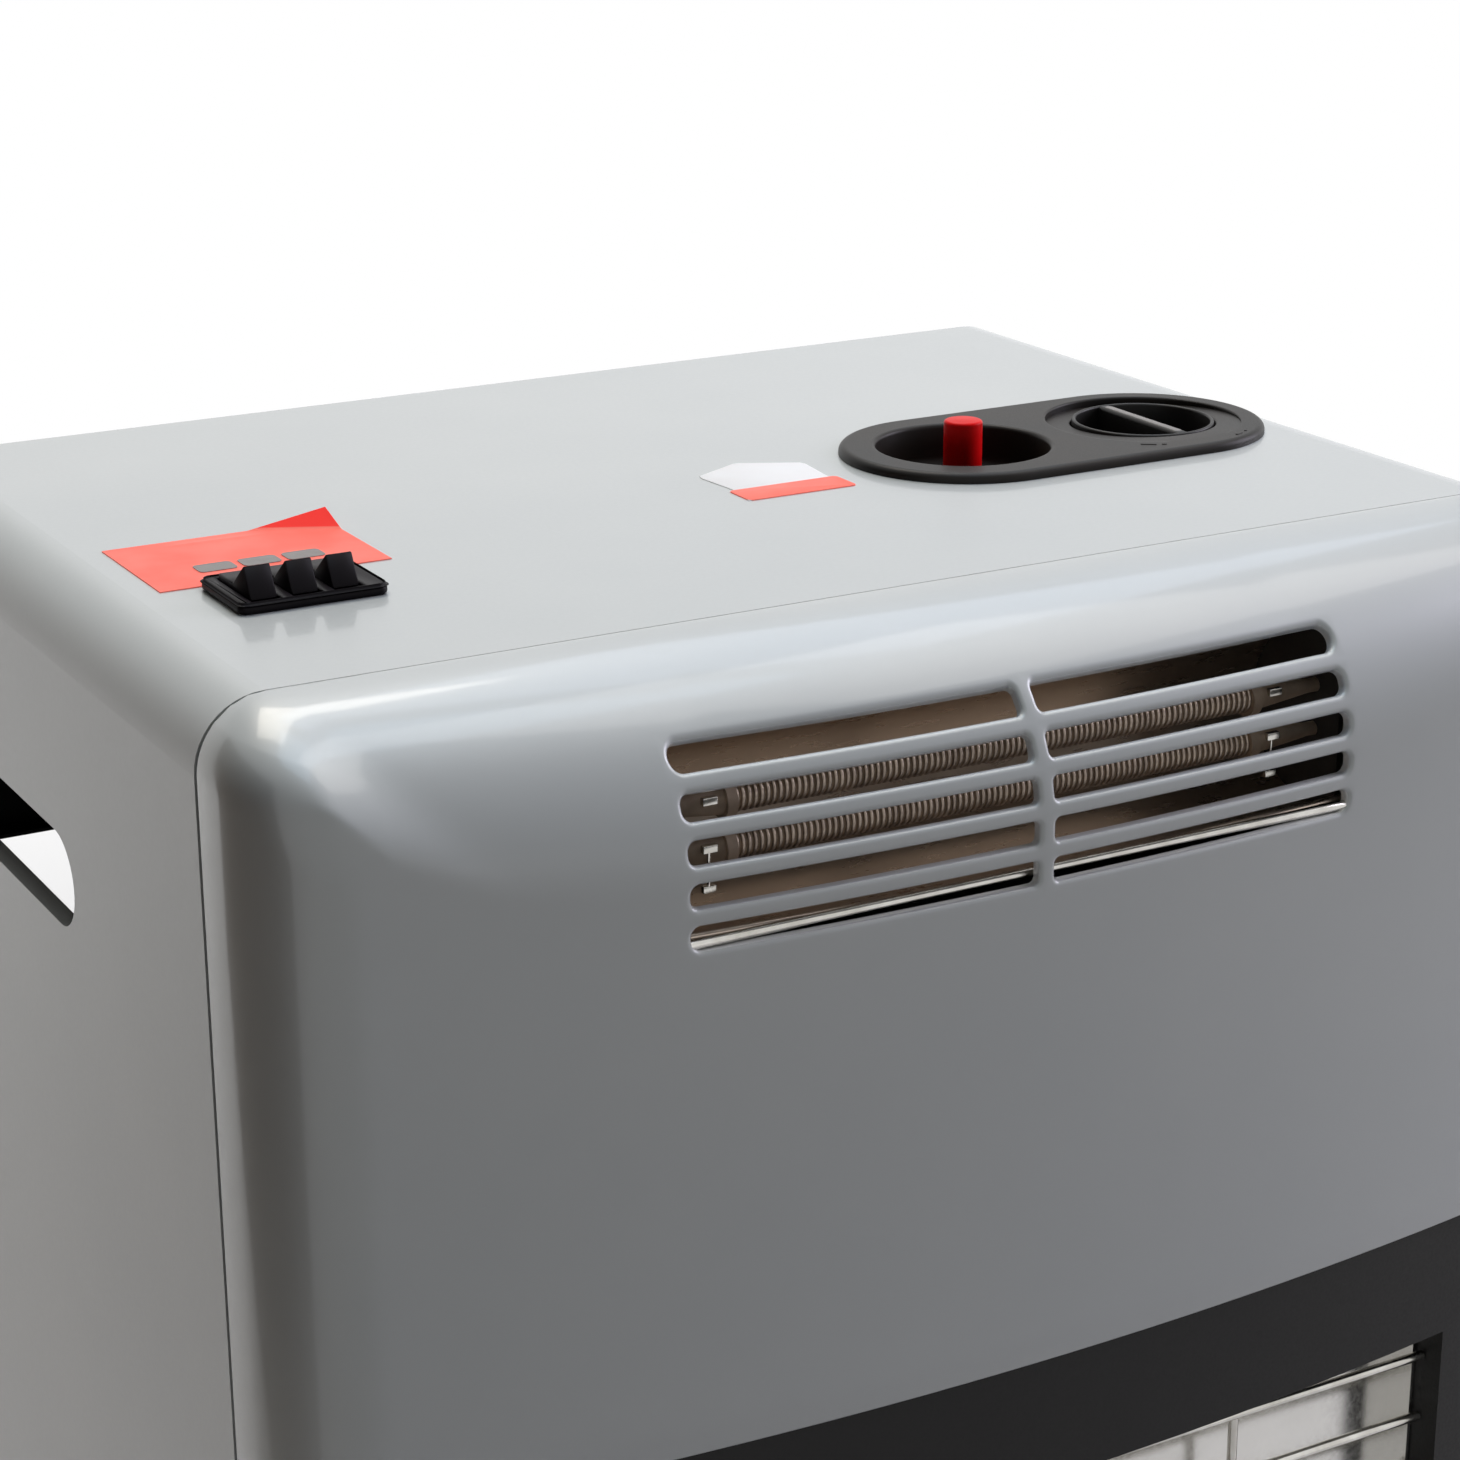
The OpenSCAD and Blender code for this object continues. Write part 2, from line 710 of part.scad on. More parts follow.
// Trough behind the two elements, bowed like the cover
module element_reflector() {
  centre = bow_y + trough_mid_y;
  lip_c = trough_r - trough_t / 2;
  color("#8b7d70") at_seam() intersection() {
    translate([0, bow_y, 0]) rotate_extrude($fn = bow_fn) {
      difference() {
        translate([centre, trough_mid_z]) circle(trough_r, $fn = 96);
        translate([centre, trough_mid_z]) circle(trough_r - trough_t, $fn = 96);
        // Open towards the grille, from the lip round to the upper edge
        translate([centre, trough_mid_z]) polygon([[0, 0],
          [60 * cos(lip_angle), 60 * sin(lip_angle)], [80, 0], [80, 80], [-40, 80],
          [60 * cos(upper_angle), 60 * sin(upper_angle)]]);
      }
      translate([centre + lip_c * cos(lip_angle), trough_mid_z + lip_c * sin(lip_angle)]) {
        circle(lip_r, $fn = 24);
      }
    }
    translate([-cheek_x + clear, -cover_reach, -cover_h]) {
      cube([2 * (cheek_x - clear), cover_reach + 20, cover_h]);
    }
  }
}

// Upright plates that hold the elements and the reflector
module element_cheeks() {
  color("#3a3733") at_seam() both_sides() difference() {
    union() {
      along_x(cheek_x, cheek_x + cheek_t) {
        polygon([[-44, cheek_low], [shield_y - 0.1, cheek_low], [shield_y - 0.1, cheek_top],
          [-36, cheek_top], [-44, cheek_top - 12]]);
      }
      translate([cheek_x, shield_y - 1.6, cheek_low]) cube([14, 1.5, cheek_top - cheek_low]);
    }
    for (i = [0, 1]) translate([0, -element_set, -element_drop - i * element_gap]) {
      pin_x(cheek_x - 1, cheek_x + cheek_t + 1, pin_r + 0.1);
    }
  }
}

// Ceramic rod with collars and tapered terminals
module heating_element(z) {
  collar = rod_r + wire_d + 0.6;
  taper = cheek_x - element_half - 6;
  color("#b7a58f") at_seam() translate([0, -element_set, z]) {
    pin_x(-element_half - 1, element_half + 1, rod_r);
    both_sides() {
      pin_x(element_half, element_half + 3, collar);
      translate([element_half + 3, 0, 0]) rotate([0, 90, 0]) {
        cylinder(h = taper, r1 = rod_r + 0.6, r2 = pin_r);
      }
      pin_x(element_half + 2.5 + taper, cheek_x + cheek_t + 6, pin_r);
    }
  }
}
module heating_element_upper() { heating_element(-element_drop); }
module heating_element_lower() { heating_element(-element_drop - element_gap); }

// Heating wire: one tube of six sides, wound round the rod, its ends turned
// along the rod into the collars
coil_r = rod_r + wire_d / 2 + clear;
coil_bend = 1.3;
coil_lead = coil_bend + wire_d;
coil_half = element_half - coil_lead - 0.02;
coil_rings = 8 * wire_turns;
coil_pitch = 2 * coil_half / wire_turns;
function unit(v) = v / norm(v);
function coil_out(a) = [0, cos(a), sin(a)];
function coil_way(a) = [0, -sin(a), cos(a)];
function coil_point(i) = [-coil_half + 2 * coil_half * i / coil_rings, 0, 0] + coil_r * coil_out(45 * i);
// Tangent along the helix
function coil_run(i) = unit([coil_pitch, 0, 0] + 2 * PI * coil_r * coil_way(45 * i));
// Bent end: turn is 0 on the helix and 90 along the rod, side is -1 or 1
function bend_point(i, side, turn) = coil_point(i)
  + coil_bend * ([side * (1 - cos(turn)), 0, 0] + side * sin(turn) * coil_way(45 * i));
function bend_run(i, turn) = unit([sin(turn), 0, 0] + cos(turn) * coil_way(45 * i));
// Each ring is [centre, direction, outward]
coil_route = concat(
  [[bend_point(0, -1, 90) - [wire_d, 0, 0], [1, 0, 0], coil_out(0)]],
  [for (turn = [90, 45]) [bend_point(0, -1, turn), bend_run(0, turn), coil_out(0)]],
  [for (i = [0 : coil_rings]) [coil_point(i), coil_run(i), coil_out(45 * i)]],
  [for (turn = [45, 90]) [bend_point(coil_rings, 1, turn), bend_run(coil_rings, turn),
    coil_out(45 * coil_rings)]],
  [[bend_point(coil_rings, 1, 90) + [wire_d, 0, 0], [1, 0, 0], coil_out(45 * coil_rings)]]);
function ring_point(ring, k) = ring[0]
  + wire_d / 2 * (cos(60 * k) * ring[2] + sin(60 * k) * unit(cross(ring[1], ring[2])));
coil_points = [for (ring = coil_route) for (k = [0 : 5]) ring_point(ring, k)];
coil_last = 6 * (len(coil_route) - 1);
coil_faces = concat(
  [for (k = [1 : 4]) [0, k, k + 1]],
  [for (r = [0 : len(coil_route) - 2]) for (k = [0 : 5]) each [
    [6 * r + k, 6 * r + 6 + k, 6 * r + (k + 1) % 6],
    [6 * r + (k + 1) % 6, 6 * r + 6 + k, 6 * r + 6 + (k + 1) % 6]]],
  [for (k = [1 : 4]) [coil_last, coil_last + k + 1, coil_last + k]]);
// Least gap of the wire to itself, from points of one turn to those of the next
coil_self_gap = min([for (i = [0 : 16]) for (j = [i + 6 : min(i + 12, coil_rings)])
  norm(coil_point(i) - coil_point(j))]) - wire_d;
echo(coil_self_gap = coil_self_gap);

module heating_coil(z) {
  color("#6b5a4c") at_seam() translate([0, -element_set, z]) {
    polyhedron(coil_points, coil_faces, convexity = 10);
  }
}
module heating_coil_upper() { heating_coil(-element_drop); }
module heating_coil_lower() { heating_coil(-element_drop - element_gap); }

// Plan of a rectangle with rounded corners, its middle at the origin
module rounded(w, l, r) {
  square([w, l - 2 * r], center = true);
  square([w - 2 * r, l], center = true);
  for (x = [-1, 1]) for (y = [-1, 1]) translate([x * (w / 2 - r), y * (l / 2 - r)]) circle(r, $fn = 24);
}

rocker_window = 2 * (rocker_half * cos(rocker_tilt) + rocker_top * sin(rocker_tilt)) + 0.5;

module at_rocker(i) {
  at_seam() translate([-rocker_mid + (i - 2) * rocker_pitch, switch_y, pivot_z]) children();
}

// Raised frame round the three rockers
module switch_frame() {
  color("#242120") difference() {
    at_seam() translate([-switch_x, switch_y, 0]) {
      linear_extrude(switch_h - 0.6) rounded(switch_w, switch_l, 3);
      translate([0, 0, switch_h - 0.7]) linear_extrude(0.7) rounded(switch_w - 1, switch_l - 1, 2.5);
    }
    for (i = [1 : 3]) at_rocker(i) cube([rocker_w + 2 * clear, rocker_window, 30], center = true);
  }
}

// Block with the contacts, under the frame
module switch_block() {
  color("#1b1a1a") difference() {
    at_seam() translate([-switch_x, switch_y, -switch_block_d]) {
      linear_extrude(switch_block_d) square([switch_w - 3.6, switch_l - 1.6], center = true);
    }
    for (i = [1 : 3]) at_rocker(i) translate([0, 0, 5]) {
      cube([rocker_w + 2 * clear, rocker_window, 30], center = true);
    }
    at_rocker(2) pin_x(-switch_w / 2, switch_w / 2, rocker_pin_r + snug);
  }
}

module rocker_pin() {
  color("#b9bbbd") at_rocker(2) pin_x(-switch_w / 2 + 3, switch_w / 2 - 3.5, rocker_pin_r);
}

module switch_terminals() {
  color("#b08d3f") for (i = [1 : 3]) for (y = [-8, 0, 8]) at_rocker(i) {
    translate([-2.4, y - 0.4, -switch_block_d - 8 - pivot_z]) cube([4.8, 0.8, 8]);
  }
}

module rocker(i) {
  color("#1e1a1f") at_rocker(i) rotate([-rocker_tilt, 0, 0]) difference() {
    along_x(-rocker_w / 2, rocker_w / 2) polygon([
      [-rocker_half, rocker_top], [0, rocker_top - 3.4], [rocker_half, rocker_top],
      [rocker_half + 1.5, 1], [rocker_half - 1, -5], [-rocker_half + 1, -5], [-rocker_half - 1.5, 1]]);
    pin_x(-rocker_w, rocker_w, rocker_pin_r + run);
  }
}
module rocker_1() { rocker(1); }
module rocker_2() { rocker(2); }
module rocker_3() { rocker(3); }

// Control panel with the igniter dish and the well of the knob
module control_bezel() {
  well_low = knob_bottom - knob_travel - 1.5;
  color("#3b3835") at_seam() difference() {
    union() {
      linear_extrude(bezel_h - 0.8) bezel_plan(0);
      linear_extrude(bezel_h) bezel_plan(-0.8);
      translate([dish_x, control_y, -dish_d - well_t]) cylinder(h = dish_d + well_t + 1, r = dish_r + well_t);
      translate([knob_x, control_y, well_low - well_t]) {
        cylinder(h = well_t - well_low + 1, r = knob_r + clear + well_t);
      }
    }
    translate([dish_x, control_y, -dish_d]) cylinder(h = dish_d + 20, r = dish_r);
    translate([dish_x, control_y, -dish_d - 5]) cylinder(h = 10, r = button_r + button_play);
    translate([knob_x, control_y, well_low]) cylinder(h = 60, r = knob_r + clear);
    translate([knob_x, control_y, well_low - 5]) cylinder(h = 10, r = spindle_r + clear);
    // Seat round the knob, sloping down to the rear
    translate([knob_x, control_y - seat_r, bezel_h + 0.1]) rotate([-seat_tilt, 0, 0]) {
      translate([0, seat_r, 0]) cylinder(h = 20, r = seat_r);
    }
  }
}

module igniter_button() {
  color("#e01b1d") at_seam() translate([dish_x, control_y, 0]) {
    translate([0, 0, tube_low + 12]) cylinder(h = button_top - tube_low - 12 - 0.8, r = button_r);
    translate([0, 0, button_top - 0.9]) cylinder(h = 0.9, r1 = button_r, r2 = button_r - 0.9);
  }
}

// Piezo igniter under the dish
module igniter_body() {
  color("#26282a") at_seam() translate([dish_x, control_y, tube_low]) difference() {
    union() {
      cylinder(h = body_tube_h, r = button_r + 3);
      translate([0, 0, body_tube_h - 6]) cylinder(h = 6, r = button_r + 6);
    }
    translate([0, 0, 3]) cylinder(h = body_tube_h, r = button_r + button_play);
  }
}

// Knob with two finger wells and a grip bar
module gas_knob() {
  color("#1b1918") at_seam() translate([knob_x, control_y, 0]) {
    difference() {
      translate([0, 0, knob_bottom]) cylinder(h = bezel_h - knob_bottom, r = knob_r);
      translate([0, 0, bezel_h - finger_d]) difference() {
        cylinder(h = finger_d + 1, r = knob_r - knob_wall);
        translate([-grip_w / 2, -far / 2, -1]) cube([grip_w, far, finger_d + 3]);
      }
      translate([0, 0, knob_bottom - 1]) cylinder(h = 4, r = spindle_r + snug);
    }
  }
}

module valve_spindle() {
  color("#c2a45a") at_seam() translate([knob_x, control_y, spindle_low]) {
    cylinder(h = knob_bottom + 3 - spindle_low, r = spindle_r);
  }
}

// Turning plug inside the valve body; the spindle slides in its socket
module valve_plug() {
  low = valve_z - valve_h + 8.1;
  color("#d0b060") at_seam() translate([knob_x, control_y, low]) difference() {
    cylinder(h = valve_z - 2 - low, r = plug_r - run);
    translate([0, 0, spindle_low - knob_travel - 1 - low]) cylinder(h = 60, r = spindle_r + run);
    translate([0, 0, 6]) rotate([90, 0, 0]) cylinder(h = 60, r = 2, center = true);
  }
}

module gas_valve_body() {
  color("#b89a52") at_seam() translate([knob_x, control_y, 0]) difference() {
    union() {
      translate([-valve_half, -valve_half, valve_z - valve_h]) {
        cube([2 * valve_half, 2 * valve_half, valve_h]);
      }
      translate([-5, 0, pipe_z]) pin_y(-valve_half - 8, -valve_half + 1, pipe_r + 2.5);
    }
    translate([0, 0, valve_z - valve_h + 8]) cylinder(h = valve_h, r = plug_r);
    // Outlet socket of the feed pipe
    translate([-5, 0, pipe_z]) pin_y(-valve_half - 9, -valve_half + 4, pipe_r + snug);
    // Socket of the gas inlet
    translate([0, 0, pipe_z]) pin_y(valve_half - 5, valve_half + 1, inlet_r - 2 + snug);
  }
}

// Channel that hangs the valve under the top panel
module valve_bracket() {
  half_l = dish_r + well_t + clear + 4;
  side = valve_half + 4;
  t = 1.5;
  color("#8e9092") at_seam() translate([knob_x, control_y, 0]) difference() {
    translate([-side, -half_l, valve_z]) cube([2 * side, 2 * half_l, -sheet_t - valve_z]);
    translate([-side - 1, -half_l + t, valve_z + t]) cube([2 * side + 2, 2 * (half_l - t), -valve_z]);
    translate([0, 0, valve_z - 1]) cylinder(h = 4, r = spindle_r + 0.5);
  }
}

// Inlet for the gas hose: a hexagon and a plain neck of the thread's size
module gas_inlet() {
  color("#c8ab5e") at_seam() translate([knob_x, control_y, pipe_z]) {
    pin_y(valve_half - 4.9, valve_half, inlet_r - 2);
    along_y(valve_half, valve_half + 7) circle(9, $fn = 6);
    pin_y(valve_half + 6.9, valve_half + 7 + inlet_l, inlet_r);
  }
}

// Copper pipe from the valve, through the heat shield and down to the burner
module feed_pipe() {
  bend = 14;
  color("#b87343") at_seam() translate([pipe_x, 0, 0]) {
    translate([0, 0, pipe_z]) pin_y(pipe_y + bend, control_y - valve_half - 0.5, pipe_r);
    translate([0, pipe_y + bend, pipe_z - bend]) rotate([90, 0, 90]) rotate([0, 0, 90]) {
      rotate_extrude(angle = 90) translate([bend, 0]) circle(pipe_r);
    }
    translate([0, pipe_y, burner_top]) cylinder(h = pipe_z - bend - burner_top, r = pipe_r);
  }
}

// Box that spreads the gas behind the plaques
module burner_box() {
  wall = burner_wall;
  color("#8c8d8a") at_seam() difference() {
    translate([-burner_half, burner_front, burner_bottom]) cube([2 * burner_half, burner_d, burner_h]);
    translate([-burner_half + wall, burner_front - 1, burner_bottom + wall]) {
      cube([2 * (burner_half - wall), burner_d - wall + 1, burner_h - 2 * wall]);
    }
  }
}

module burner_plaques() {
  wall = burner_wall;
  w = 2 * (burner_half - wall) / 3;
  color("#d9d2c4") at_seam() for (i = [-1 : 1]) {
    translate([i * w - w / 2 + 0.2, burner_front + 0.1, burner_bottom + wall + 0.2]) {
      cube([w - 0.4, plaque_t, burner_h - 2 * wall - 0.4]);
    }
  }
}

// Bright frame that holds the plaques and fills the window
module burner_reflector() {
  face = burner_front - 0.1;
  color("#c9c6c0") at_seam() difference() {
    along_y(face - 11, face) translate([0, burner_mid]) {
      square([2 * (window_half - clear), window_h - 2 * clear], center = true);
    }
    along_y(face - 12, face - 1) translate([0, burner_mid]) {
      square([2 * (window_half - clear - 1), window_h - 2 * clear - 2], center = true);
    }
    along_y(face - 2, face + 1) translate([0, burner_mid]) {
      square([2 * (burner_half - 5), burner_h - 10], center = true);
    }
  }
}

// Wire guard in the window
module burner_guard() {
  y = burner_front - 14;
  span = window_h - 24;
  color("#b9bcbd") at_seam() {
    for (i = [0 : guard_rows - 1]) translate([0, y, window_bottom + 12 + i * span / (guard_rows - 1)]) {
      pin_x(-window_half + clear, window_half - clear, guard_wire_r);
    }
    for (x = [-90, 0, 90]) translate([x, y + 2 * guard_wire_r - 0.3, window_bottom + 12 - 3]) {
      cylinder(h = span + 6, r = guard_wire_r);
    }
  }
}

// Pilot burner on its bracket, below the plaques
module pilot_burner() {
  face = burner_front - 1.1;
  half = probe_x + 11;
  color("#a9a69f") at_seam() translate([pilot_x, 0, 0]) difference() {
    union() {
      translate([-half, face - 1.2, pilot_z]) cube([2 * half, 1.1, 16]);
      translate([-half, face - 9, pilot_z]) cube([2 * half, 8.9, 1.5]);
      translate([0, pilot_y, pilot_z]) cylinder(h = 24, r = pilot_r);
    }
    translate([0, pilot_y, pilot_z + 4]) cylinder(h = 30, r = pilot_r - 1);
    translate([-probe_x, pilot_y, pilot_z - 1]) cylinder(h = 4, r = probe_r + 0.1);
    translate([probe_x, pilot_y, pilot_z - 1]) cylinder(h = 4, r = spark_r + 0.1);
  }
}

module thermocouple() {
  color("#c8803c") at_seam() translate([pilot_x - probe_x, pilot_y, pilot_z - 8]) {
    cylinder(h = 30, r = probe_r);
    cylinder(h = 7.9, r = probe_r + 1.3);
  }
}

module spark_electrode() {
  color("#efece4") at_seam() translate([pilot_x + probe_x, pilot_y, pilot_z - 8]) {
    cylinder(h = 20, r = spark_r);
    translate([0, 0, 19]) cylinder(h = 12, r = 0.7);
  }
}

// Red film with one corner peeled up, blank
module red_film() {
  left = -film_x;
  right = film_w - film_x;
  front = switch_y + switch_l / 2 + 0.6;
  fold_y = film_y - film_fold;
  fold_x = right - 1.7 * film_fold;
  color("#ff8e80") at_seam() {
    linear_extrude(film_t) {
      polygon([[left, front], [right, front], [right, fold_y], [fold_x, film_y], [left, film_y]]);
    }
    hull() {
      translate([0, 0, film_t - 0.05]) linear_extrude(film_t) {
        polygon([[right, fold_y], [right - 0.4, fold_y], [fold_x, film_y]]);
      }
      translate([right - 12, film_y - 6, film_peel]) cube([1, 1, 0.2]);
    }
  }
}

// Three grey fields on the film, one behind each rocker
module rocker_marks() {
  behind = switch_y + switch_l / 2 + 16.4;
  color("#8d8a88") at_seam() for (i = [-1 : 1]) translate([-switch_x + 2.6 + 12.9 * i, behind, film_t]) {
    linear_extrude(0.15) rounded(11, 7.6, 1.6);
  }
}

// Blank label near the middle of the top
module blank_label() {
  shoulder = 0.41 * label_l;
  color("#f2efee") at_seam() translate([-1, label_y, 0]) linear_extrude(film_t) {
    polygon([[0, 0], [label_w, 0], [label_w, label_l - shoulder], [label_w - 8, label_l], [9, label_l],
      [0, label_l - shoulder]]);
  }
}

// Children at the four casters: 0 and 1 in front, 2 and 3 behind
module at_caster(i) {
  translate([(i % 2 == 0 ? -1 : 1) * caster_x, i < 2 ? caster_front : caster_rear, 0]) children();
}

module caster_screw_places() {
  for (i = [0 : 3]) at_caster(i) for (x = [-1, 1]) for (y = [-1, 1]) {
    translate([x * plate_hole, y * plate_hole, 0]) children();
  }
}

module caster_plates() {
  color("#9fa3a6") for (i = [0 : 3]) at_caster(i) translate([0, 0, floor_z - plate_t]) difference() {
    union() {
      linear_extrude(plate_t) rounded(2 * plate_hole + 10, 2 * plate_hole + 10, 5);
      translate([0, 0, -boss_h]) cylinder(h = boss_h + 1, r = stem_r + 6);
    }
    translate([0, 0, -boss_h - 1]) cylinder(h = boss_h + 1.5, r = stem_r + run);
    for (x = [-1, 1]) for (y = [-1, 1]) translate([x * plate_hole, y * plate_hole, -1]) {
      cylinder(h = plate_t + 2, r = plate_screw_r + screw_play);
    }
  }
}

module caster_screws() {
  color("#b3b6b8") caster_screw_places() {
    translate([0, 0, floor_z - plate_t - 1.6]) cylinder(h = 1.6, r = 2 * plate_screw_r);
    translate([0, 0, floor_z - plate_t - 0.1]) cylinder(h = plate_t + pan_t + 1, r = plate_screw_r);
  }
}

module caster_fork(i) {
  top = 2 * wheel_r + fork_gap;
  inner = wheel_w / 2 + wheel_play;
  color("#8d9194") at_caster(i) difference() {
    union() {
      // Bridge over the wheel
      translate([0, 0, top]) cylinder(h = fork_t, r = inner + fork_t + 1);
      translate([-inner - fork_t, 0, top]) cube([2 * (inner + fork_t), trail + 4, fork_t]);
      // Two cheeks down to the axle
      both_sides() along_x(inner, inner + fork_t) {
        translate([trail, wheel_r]) circle(7);
        polygon([[trail - 7, wheel_r], [trail + 7, wheel_r], [trail + 4, top + fork_t / 2],
          [0, top + fork_t / 2]]);
      }
      translate([0, 0, top + fork_t - 0.5]) cylinder(h = boss_h + swivel_gap, r = stem_r);
    }
    translate([0, trail, wheel_r]) pin_x(-20, 20, axle_r + run);
  }
}

module caster_axle(i) {
  reach = wheel_w / 2 + wheel_play + fork_t;
  color("#c4c7c9") at_caster(i) translate([0, trail, wheel_r]) {
    pin_x(-reach - 0.5, reach + 0.5, axle_r);
    both_sides() pin_x(reach + 0.2, reach + 1.8, axle_r + 1.5);
  }
}

module caster_wheel(i) {
  half = wheel_w / 2;
  color("#26262a") at_caster(i) translate([0, trail, wheel_r]) rotate([0, 90, 0]) difference() {
    union() {
      cylinder(h = wheel_w - 4, r = wheel_r, center = true);
      for (side = [0, 1]) mirror([0, 0, side]) translate([0, 0, half - 2.1]) {
        cylinder(h = 2.1, r1 = wheel_r, r2 = wheel_r - 2);
      }
    }
    cylinder(h = wheel_w + 2, r = axle_r + run, center = true);
    for (side = [0, 1]) mirror([0, 0, side]) translate([0, 0, half - 2]) difference() {
      cylinder(h = 3, r = wheel_r - 5);
      cylinder(h = 9, r = axle_r + 3, center = true);
    }
  }
}

housing_wrap();
front_cover();
burner_surround();
lower_panel();
heat_shield();
floor_pan();
upper_rear_panel();
rear_cover();
rear_screws();
mains_gland();
element_reflector();
element_cheeks();
heating_element_upper();
heating_element_lower();
heating_coil_upper();
heating_coil_lower();
switch_frame();
switch_block();
rocker_pin();
switch_terminals();
rocker_1();
rocker_2();
rocker_3();
control_bezel();
igniter_button();
igniter_body();
gas_knob();
valve_spindle();
valve_plug();
gas_valve_body();
valve_bracket();
gas_inlet();
feed_pipe();
burner_box();
burner_plaques();
burner_reflector();
burner_guard();
pilot_burner();
thermocouple();
spark_electrode();
red_film();
rocker_marks();
blank_label();
caster_plates();
caster_screws();
caster_fork(0);  // caster_fork_front_left
caster_fork(1);  // caster_fork_front_right
caster_fork(2);  // caster_fork_rear_left
caster_fork(3);  // caster_fork_rear_right
caster_axle(0);  // caster_axle_front_left
caster_axle(1);  // caster_axle_front_right
caster_axle(2);  // caster_axle_rear_left
caster_axle(3);  // caster_axle_rear_right
caster_wheel(0);  // caster_wheel_front_left
caster_wheel(1);  // caster_wheel_front_right
caster_wheel(2);  // caster_wheel_rear_left
caster_wheel(3);  // caster_wheel_rear_right
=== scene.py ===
"""Looks of the cabinet gas heater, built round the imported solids."""
import json
import math

import bmesh
import bpy
from mathutils import Matrix, Vector
from mathutils.geometry import delaunay_2d_cdt


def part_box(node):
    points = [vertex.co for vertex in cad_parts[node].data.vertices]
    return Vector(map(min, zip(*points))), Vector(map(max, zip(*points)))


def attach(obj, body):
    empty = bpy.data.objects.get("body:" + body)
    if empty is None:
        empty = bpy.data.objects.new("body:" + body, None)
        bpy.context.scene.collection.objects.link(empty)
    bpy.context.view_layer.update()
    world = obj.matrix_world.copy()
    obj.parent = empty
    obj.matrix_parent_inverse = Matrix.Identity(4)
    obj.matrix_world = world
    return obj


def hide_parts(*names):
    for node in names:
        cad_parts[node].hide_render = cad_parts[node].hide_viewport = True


bl_info = {
    "name": "Cabinet gas heater",
    "version": (1, 0, 0),
    "blender": (4, 5, 0),
    "location": "3D View > Sidebar > Heater",
    "description": "Builds the looks of a cabinet gas heater round its packed solids",
    "category": "Object",
}

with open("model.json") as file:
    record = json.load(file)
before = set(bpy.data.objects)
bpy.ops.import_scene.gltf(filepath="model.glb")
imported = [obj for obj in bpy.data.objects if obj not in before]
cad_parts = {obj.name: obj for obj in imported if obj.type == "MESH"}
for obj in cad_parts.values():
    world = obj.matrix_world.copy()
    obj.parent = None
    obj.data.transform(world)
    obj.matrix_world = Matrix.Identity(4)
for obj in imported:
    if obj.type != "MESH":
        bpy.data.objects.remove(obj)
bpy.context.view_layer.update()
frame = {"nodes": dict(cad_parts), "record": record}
NODES = frame["nodes"]
SLOTS = {part["node"]: part["material_slot"] for part in frame["record"]["subparts"]}

MM = 0.001


def box_mm(node):
    """Lowest and highest corner of a solid, in millimetres."""
    low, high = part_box(node)
    return [v / MM for v in low], [v / MM for v in high]


# Places taken from the solids, in millimetres
HOUSING_LOW, HOUSING_HIGH = box_mm("housing_wrap")
COVER_LOW, COVER_HIGH = box_mm("front_cover")
BEZEL_LOW, BEZEL_HIGH = box_mm("control_bezel")
KNOB_LOW, KNOB_HIGH = box_mm("gas_knob")
HALF_W = HOUSING_HIGH[0]
TOP_Z = HOUSING_HIGH[2]
SEAM_Y = HOUSING_LOW[1]
FACE_Y = COVER_LOW[1]
CONTROL_Y = (BEZEL_LOW[1] + BEZEL_HIGH[1]) / 2
KNOB_X = (KNOB_LOW[0] + KNOB_HIGH[0]) / 2

# Cover: thickness of its sheet, radius of its upright corners and of its lower edge, half the width of
# its plain front, how much closer it lies to the housing along the top than down the sides, and the
# distance over which the shoulder goes over into the upright corners
SHEET, CORNER, FOOT_R, PLAIN_HALF, TOP_REACH, BLEND = 0.8, 25.0, 0.8, 178.0, 0.6, 44.0
# Lines of the cover's mesh: level ones to a row of slots, and either way in the plain parts round them
CELL_LINES, PLAIN_LINES = 12, 16
# Slots: rows, depth of the first row's middle below the top panel, distance of rows, bar in the middle,
# reach to either side, plain strip beyond their ends, and corner radii at the bar and at the outer end
SLOT_ROWS, SLOT_DROP, SLOT_PITCH, SLOT_BAR = 5, 20.0, 11.1, 5.0
SLOT_HALF, SLOT_EDGE, SLOT_BAR_R, SLOT_END_R = 103.0, 2.5, 1.7, 2.7

# Electric elements: distance from the seam and depth of the upper one below the top panel, distance of
# the two, half the length of the winding, radius of the rod, and distance of the tabs beyond the winding
ELEMENT_SET, ELEMENT_DROP, ELEMENT_GAP, ELEMENT_HALF, ROD_R, TAB_OUT = 33.0, 37.0, 12.8, 81.0, 3.3, 7.8
# Lip of the reflector: distance from the seam, depth below the top panel, half its length, radius
LIP_SET, LIP_DROP, LIP_HALF, LIP_R = 51.8, 66.2, 103.2, 1.35
# Burner plaques: gap between two, distance of the holes and their depth. The real holes are about
# 1.2 mm wide and 2.4 mm apart, and are drawn coarser so that they show
PLAQUE_GAP, PLAQUE_PITCH, HOLE_DEPTH = 0.4, 4.6, 6.0

# Controls: radius and depth of the dish, radii of the knob, of its seat and of the button, and slope
# of the seat in degrees
DISH_R, DISH_D, KNOB_R, SEAT_R, BUTTON_R, SEAT_TILT = 27.0, 12.0, 22.6, 31.0, 6.0, 2.4


# Sizes and colours

def length(name, text, value):
    """Property for one length, with its default in millimetres."""
    return bpy.props.FloatProperty(
        name=name, description=text, default=value * MM, subtype="DISTANCE", unit="LENGTH")


def colour(name, text, value):
    """Property for one sRGB colour, written as hex."""
    return bpy.props.StringProperty(name=name, description=text, default=value)


